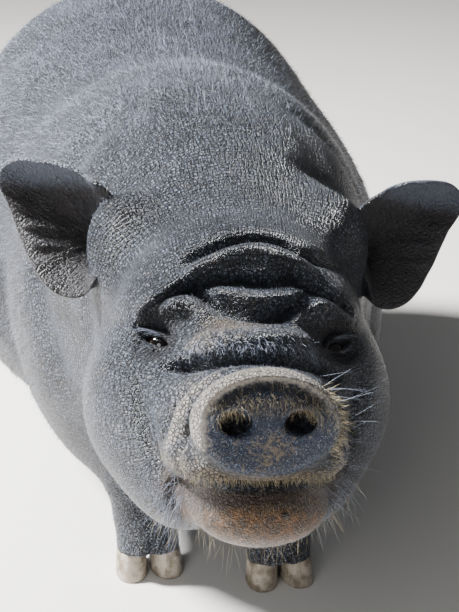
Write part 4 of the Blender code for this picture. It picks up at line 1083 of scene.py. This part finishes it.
# Name, line of the roots, spread and count, then lengths, way (left, forward, up), stray, droop,
# half width, tones, finish and seed.
FACE_HAIRS = (
    ("hair_over_nostrils", ((-32, 1, 8), (-18, 1, 14), (-2, 1, 16), (16, 1, 15), (26, 1, 12), (37, 1, 5)),
     4.0, 620, (4.5, 9), (0.0, 0.55, -0.8), 0.5, 0.25, 0.09, (0.0, 0.85), STRAW_BRISTLE, 21),
    ("hair_of_disc", ((-30, 1, -16), (-14, 1, -22), (4, 1, -22), (24, 1, -20)), 7.0, 420,
     (1.5, 3.5), (0.0, 0.5, -0.6), 0.8, 0.1, 0.08, (0.2, 0.9), STRAW_BRISTLE, 22),
    ("hair_beside_snout", ((38, -4, 18), (47, -8, 4), (49, -9, -12), (44, -8, -26)), 3.5, 190,
     (4, 12), (0.9, 0.35, -0.05), 0.45, 0.25, 0.11, (0.2, 1), STRAW_BRISTLE, 23),
    ("hair_of_lips", ((-46, -24, -36), (-26, -12, -37), (0, -9, -38), (26, -12, -37), (46, -24, -36)),
     3.5, 420, (3, 6.5), (0.0, 0.6, -0.7), 0.5, 0.2, 0.1, (0.1, 0.9), STRAW_BRISTLE, 24),
    ("fringe_of_bridge", ((-44, -66, 37), (-24, -52, 40), (0, -46, 41), (24, -52, 39), (44, -64, 32)),
     3.0, 320, (4, 9), (0.1, 0.7, -0.6), 0.4, 0.2, 0.11, (0.3, 1), SILVER_BRISTLE, 25),
    ("whiskers_left", ((40, -44, 26), (50, -36, 14), (54, -38, -2), (54, -42, -18), (46, -24, -30)),
     4.5, 15, (22, 44), (0.9, 0.25, 0.12), 0.38, 0.1, 0.09, (0.35, 0.9), SILVER_BRISTLE, 26),
    ("whiskers_right", ((-40, -44, 26), (-54, -38, -2), (-54, -42, -18), (-46, -24, -30)), 4.0, 11,
     (12, 24), (-0.9, 0.3, 0.1), 0.35, 0.15, 0.09, (0.2, 0.8), SILVER_BRISTLE, 27),
    ("tuft_right_of_mouth", ((-46, -52, -50), (-54, -64, -58), (-54, -66, -67), (-44, -66, -78)), 7.0, 120,
     (9, 34), (-0.45, 0.4, -0.65), 0.5, 0.35, 0.1, (0.1, 0.8), SILVER_BRISTLE, 28),
    ("tuft_left_of_mouth", ((46, -52, -50), (54, -64, -58), (54, -66, -67), (44, -66, -78)), 7.0, 80,
     (9, 24), (0.45, 0.4, -0.65), 0.5, 0.35, 0.11, (0.1, 0.8), SILVER_BRISTLE, 29),
    ("hair_of_jowls", ((-60, -84, -70), (-40, -74, -84), (0, -40, -84), (40, -74, -84), (60, -84, -70)),
     9.0, 110, (8, 20), (0.0, 0.3, -0.9), 0.5, 0.2, 0.12, (0.0, 0.8), STRAW_BRISTLE, 30),
    ("hair_of_chin", ((-34, -22, -50), (-12, -10, -52), (13, -12, -51), (36, -22, -52)), 6.0, 420,
     (2.5, 6), (0.0, 0.5, -0.8), 0.55, 0.2, 0.1, (0.0, 0.7), STRAW_BRISTLE, 31),
)
for name, line, spread, count, lengths, way, stray, droop, half, tones, finish, seed in FACE_HAIRS:
    random = np.random.default_rng(seed)
    line = path(line, 8)
    at = random.uniform(0, len(line) - 1, count)
    near = np.stack([np.interp(at, np.arange(len(line)), line[:, k]) for k in range(3)], 1)
    near = from_head(near + random.normal(0, spread, (count, 3)))
    found = [hide_tree.find_nearest(place) for place in near]
    roots = np.array([place[:] for place, _, _, _ in found])
    outs = np.array([out[:] for _, out, _, _ in found])
    ways = unit(np.array(way) @ HEAD + 0.35 * outs + random.normal(0, stray, (count, 3)))
    ways = unit(ways + outs * np.maximum(0.12 - (ways * outs).sum(1), 0)[:, None])
    size = random.uniform(*lengths, count) * MM
    bends = (np.array((0, 0, -1.0)) * droop + random.normal(0, 0.1, (count, 3))) * size[:, None]
    widths, tones = np.full(count, half * MM), random.uniform(*tones, count)
    roots -= outs * HAIR_ROOT
    grow(name, roots, ways, outs, size, widths, 3, bends, tones, finish)

# Lashes sweep outwards and down from the lids of both eyes, most of them from the upper lid. They are thin,
# droop a little, and are of the same keratin as the bristles, silvery where the light reaches them.
LASH_LENGTHS, LASHES, UPPER_LASHES, LASH_HALF = (8, 16), 70, 50, 0.13
for side, tones in (("right", (0.2, 0.8)), ("left", (0.0, 0.4))):
    middle, along, up, out = EYE_FRAMES[side]
    random = np.random.default_rng(len(side))
    count = LASHES
    upper = np.where(np.arange(count) < UPPER_LASHES, 1, -1)
    share = random.uniform(-1.05, 0.5, count)
    rise = upper * (EYE_HALF_HEIGHT * np.maximum(1 - share**2, 0) + 1.4)
    near = middle + (along * (share * EYE_HALF_LENGTH)[:, None] + up * rise[:, None]) * MM
    roots = np.array([hide_tree.find_nearest(place)[0][:] for place in near])
    ways = out * 0.5 + up * (0.1 * upper - 0.22)[:, None] + along * (0.45 * share - 0.5)[:, None]
    ways = unit(ways + random.normal(0, 0.13, (count, 3)))
    size = random.uniform(*LASH_LENGTHS, count) * MM
    size *= np.where(upper > 0, 1, 0.6) * (1 - 0.4 * np.maximum(share, 0))
    bends = (-0.35 * HEAD[2] + random.normal(0, 0.06, (count, 3))) * size[:, None]
    outs, widths = np.tile(out, (count, 1)), np.full(count, LASH_HALF * MM)
    tones = random.uniform(*tones, count)
    grow("lashes_" + side, roots, ways, outs, size, widths, 3, bends, tones, SILVER_BRISTLE)

# The crest: sparse stiff bristles of the same keratin, which stand half raised along the middle of the neck
# and back, where the back's outline shows them one by one.
CREST_COUNT, CREST_HALF_WIDTH, CREST_ABOVE = 600, 32, 330
CREST_LENGTHS, CREST_HALF = (9, 19), 0.14
random = np.random.default_rng(41)
count = CREST_COUNT
on_crest = bump(middle_x, CREST_HALF_WIDTH) * (middle_z > CREST_ABOVE)
on_crest *= step(-60, 0, middle_y) * step(540, 470, middle_y)
roots, outs = scatter(count, on_crest, random)
ways = unit(lie(roots, outs) + 0.55 * outs + random.normal(0, 0.2, (count, 3)))
size = random.uniform(*CREST_LENGTHS, count) * MM
bends = random.normal(0, 0.08, (count, 3)) * size[:, None]
widths, tones = np.full(count, CREST_HALF * MM), random.beta(1, 1.3, count)
roots -= outs * HAIR_ROOT
grow("crest", roots, ways, outs, size, widths, 2, bends, tones, SILVER_BRISTLE)

# The tassel: long coarse bristles, the thickest of the coat, which hang from the last third of the tail.
# They are rooted all round it and spread a little as they fall.
TASSEL_TOP, TASSEL_BOTTOM, TASSEL_COUNT, TASSEL_HALF = 200, 148, 420, 0.32
TASSEL_X, TASSEL_Y, TASSEL_RADIUS = 5.0, 623.0, 4
count = TASSEL_COUNT
height = random.uniform(TASSEL_BOTTOM, TASSEL_TOP, count)
angle = random.uniform(0, 2 * math.pi, count)
outs = np.stack([np.cos(angle), np.sin(angle), np.zeros(count)], 1)
middle = np.stack([np.full(count, TASSEL_X), np.full(count, TASSEL_Y), height], 1)
roots = from_stance(middle) + outs * TASSEL_RADIUS * MM
ways = unit(outs * 0.12 + np.array((0, 0, -1.0)) + random.normal(0, 0.05, (count, 3)))
size = random.uniform(35, 60, count) * MM * step(90, 200, height)
bends = random.normal(0, 0.05, (count, 3)) * size[:, None]
widths, tones = np.full(count, TASSEL_HALF * MM), random.beta(1, 2.5, count)
grow("tassel", roots, ways, outs, size, widths, 3, bends, tones, SILVER_BRISTLE)

# Each eye is a wet dark ball with a clear bulge over a brown iris, set behind its lids.
# Tears keep it polished, so it shows one sharp bright point and nearly nothing else.
IRIS_RADIUS, PUPIL_RADIUS, CORNEA_RISE = 6.2, 2.6, 1.1
EYE_SEGMENTS, EYE_RINGS = 48, 32
EYE_WHITE, IRIS_BROWN, PUPIL = linear("#1a1211"), linear("#120b08"), linear("#030303")
eye_wet, tree, shader = new_material("wet dark eye")
seen = node(tree, "Attribute", out="Fac", attribute_name="from_gaze")
colour = PUPIL
for edge, over in ((PUPIL_RADIUS, IRIS_BROWN), (IRIS_RADIUS, EYE_WHITE)):
    limits = {"Value": seen, "From Min": edge - 0.3, "From Max": edge + 0.3}
    beyond = node(tree, "MapRange", limits, **SMOOTH)
    colour = node(tree, "Mix", {"Factor": beyond, "A": colour, "B": over}, data_type="RGBA")
tree.links.new(colour, shader.inputs["Base Color"])
shader.inputs["Roughness"].default_value = 0.08
shader.inputs["IOR"].default_value = 1.38
shader.inputs["Coat Weight"].default_value = 0.6
shader.inputs["Coat Roughness"].default_value = 0.03
for side, (middle, along, up, out) in EYE_FRAMES.items():
    form = bmesh.new()
    bmesh.ops.create_uvsphere(form, u_segments=EYE_SEGMENTS, v_segments=EYE_RINGS, radius=EYE_RADIUS)
    gaze = 0.9 * out + 0.25 * HEAD[1] + 0.1 * up
    gaze /= np.linalg.norm(gaze)
    sidewards = np.cross(HEAD[2], gaze)
    sidewards /= np.linalg.norm(sidewards)
    turned = np.array([sidewards, np.cross(gaze, sidewards), gaze])
    centre = middle - out * (EYE_RADIUS + EYE_DEPTH) * MM
    from_gaze = []
    for corner in form.verts:
        place = np.array(corner.co)
        out_by = np.hypot(place[0], place[1])
        from_gaze.append(out_by if place[2] > 0 else EYE_RADIUS)
        if place[2] > 0:
            place *= 1 + CORNEA_RISE / EYE_RADIUS * max(0, 1 - (out_by / (IRIS_RADIUS + 1)) ** 2)
        corner.co = centre + (place @ turned) * MM
    mesh = bpy.data.meshes.new("eyeball_" + side)
    form.to_mesh(mesh)
    form.free()
    mesh.shade_smooth()
    mesh.attributes.new("from_gaze", "FLOAT", "POINT").data.foreach_set("value", from_gaze)
    mesh.materials.append(eye_wet)
    eyeball = add_object("eyeball_" + side, mesh)
    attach(eyeball, "root")
    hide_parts("eye_" + side)

# Hooves and the small claws behind each foot are pale dry horn, grown in rings that the ground stains.
# Horn is a dull, slightly waxy keratin, so its shine is broad and broken by the rings.
HORN_PALE, HORN_STAIN = linear("#a79d8f"), linear("#6f6352")
horn_dry, tree, shader = new_material("dry grey-beige horn")
position = node(tree, "TexCoord", out="Object")
flattened = node(tree, "VectorMath", {0: position, 1: (1, 1, 5)}, operation="MULTIPLY")
bands = node(tree, "TexNoise", {"Vector": flattened, "Scale": 1 / (9 * MM), "Detail": 3.0})
blotches = {"Vector": position, "Scale": 1 / (12 * MM), "Detail": 4.0, "Roughness": 0.6}
stain = node(tree, "TexNoise", blotches)
stain_by = node(tree, "MapRange", {"Value": stain, "From Min": 0.4, "From Max": 0.65}, **SMOOTH)
colour = node(tree, "Mix", {"Factor": stain_by, "A": HORN_PALE, "B": HORN_STAIN}, data_type="RGBA")
tree.links.new(colour, shader.inputs["Base Color"])
roughness = node(tree, "Math", {0: stain, 1: 0.3, 2: 0.45}, operation="MULTIPLY_ADD")
tree.links.new(roughness, shader.inputs["Roughness"])
relief = node(tree, "Bump", {"Height": bands, "Strength": 0.8, "Distance": 0.8 * MM})
tree.links.new(relief, shader.inputs["Normal"])
HOOF_HALF_WIDTH, HOOF_APART, HOOF_SPLAY = 14, 15, 4
HOOF_AROUND, CLAW_AROUND = 44, 20
HOOF_BACKSET, TOE_TAPER = 4, 0.22
# Rings of a hoof: share of its height, how much narrower it is, and how far its growth ring stands out.
HOOF_SHARES = (
    (0, 0.9, 0), (0, 0.95, 0), (0.03, 0.985, 0), (0.1, 1, 0), (0.25, 0.99, 0.3), (0.4, 0.965, 0.2),
    (0.55, 0.945, 0.35), (0.7, 0.925, 0.15), (0.85, 0.9, 0.4), (0.97, 0.885, 0), (1.02, 0.85, 0),
)
# Each claw from its root down: outward and backward from the foot, height and radius.
CLAW = ((9, 8, 50, 6), (10, 17, 47, 8), (12, 26, 38, 6.5), (12, 30, 30, 3))
angle = np.linspace(0, 2 * math.pi, HOOF_AROUND, endpoint=False)
c, s = np.cos(angle), np.sin(angle)
for foot, (foot_x, foot_y) in FEET.items():
    for side, word in ((-1, "right"), (1, "left")):
        rings = []
        turn = math.radians(HOOF_SPLAY) * side
        for share, narrow, ridge in HOOF_SHARES:
            toward_toe = np.maximum(c, 0)
            forward = np.copysign(np.abs(c) ** 0.75, c) * np.where(c > 0, HOOF_TOE, HOOF_BACK)
            across = np.copysign(np.abs(s) ** 0.7, s) * HOOF_HALF_WIDTH * (1 - TOE_TAPER * toward_toe**2)
            forward = forward * narrow - HOOF_BACKSET * share + ridge * toward_toe
            across = across * narrow
            horn = HOOF_HEEL + HORN_SLOPE * (forward + HOOF_BACK)
            x = foot_x + side * HOOF_APART + across * math.cos(turn) + forward * math.sin(turn)
            rings.append(from_stance(np.stack([x, foot_y - forward, share * horn], 1)))
        hoof = loft(rings, f"horn_{foot}_{word}")
        claw_line = path([(foot_x + side * out, foot_y + back, z, radius) for out, back, z, radius in CLAW])
        claw_line = np.concatenate((from_stance(claw_line[:, :3]), claw_line[:, 3:] * MM), 1)
        claw = tube(claw_line, CLAW_AROUND, f"claw_{foot}_{word}")
        for thing, stands_for in ((hoof, "hoof"), (claw, "dewclaw")):
            thing.data.materials.append(horn_dry)
            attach(thing, "root")
            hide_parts(f"{stands_for}_{foot}_{word}")

# The camera looks down on the face from in front. The animal stands on a plain pale floor, under a soft key
# light from behind its right shoulder and a weak fill from the front.
# Places are in metres of the row, and powers in watts.
CAMERA_AT = (-0.2010, -1.2598, 0.703)
CAMERA_AHEAD = (0.1769, 0.9101, -0.3746)
CAMERA_UP = (0.0715, 0.3677, 0.9272)
LENS, SENSOR = 88.24, 36.0
camera_data = bpy.data.cameras.new("camera")
camera_data.lens = LENS
camera_data.sensor_width = SENSOR
camera = add_object("camera", camera_data)
ahead, up = Vector(CAMERA_AHEAD).normalized(), Vector(CAMERA_UP).normalized()
right = ahead.cross(up)
camera.matrix_world = Matrix((
    (right.x, up.x, -ahead.x, CAMERA_AT[0]),
    (right.y, up.y, -ahead.y, CAMERA_AT[1]),
    (right.z, up.z, -ahead.z, CAMERA_AT[2]),
    (0, 0, 0, 1),
))
bpy.context.scene.camera = camera

FLOOR_HALF = 6
floor_mesh = bpy.data.meshes.new("floor")
floor_corners = [(x * FLOOR_HALF, y * FLOOR_HALF, 0) for x, y in ((-1, -1), (1, -1), (1, 1), (-1, 1))]
floor_mesh.from_pydata(floor_corners, [], [(0, 1, 2, 3)])
floor = add_object("floor", floor_mesh)
paper, tree, shader = new_material("pale matt studio paper")
position = node(tree, "TexCoord", out="Object")
cloudy = node(tree, "TexNoise", {"Vector": position, "Scale": 3.0, "Detail": 2.0})
paper_tints = {"A": linear("#dad7d2"), "B": linear("#e2dfda")}
colour = node(tree, "Mix", {"Factor": cloudy, **paper_tints}, data_type="RGBA")
tree.links.new(colour, shader.inputs["Base Color"])
shader.inputs["Roughness"].default_value = 0.85
floor.data.materials.append(paper)
floor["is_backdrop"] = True


def softbox(name, place, aim, size, power):
    light = bpy.data.lights.new(name, "AREA")
    light.shape = "DISK"
    light.size = size
    light.energy = power
    lamp = add_object(name, light)
    lamp.location = place
    lamp.rotation_euler = (Vector(aim) - Vector(place)).to_track_quat("-Z", "Y").to_euler()


softbox("key", (-1.5, 0.5, 1.85), (0, -0.25, 0.25), 0.45, 400)
softbox("fill", (-1.1, -2.1, 1.3), (0, -0.3, 0.25), 1.4, 22)
STUDIO_TINT, STUDIO_STRENGTH = (0.94, 0.96, 1, 1), 0.14
world = bpy.data.worlds.new("studio")
world.use_nodes = True
around = world.node_tree.nodes["Background"]
around.inputs["Color"].default_value = STUDIO_TINT
around.inputs["Strength"].default_value = STUDIO_STRENGTH
bpy.context.scene.world = world

low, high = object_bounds()
{"cad": [list(cad_low), list(cad_high)], "visual": [list(low), list(high)]}
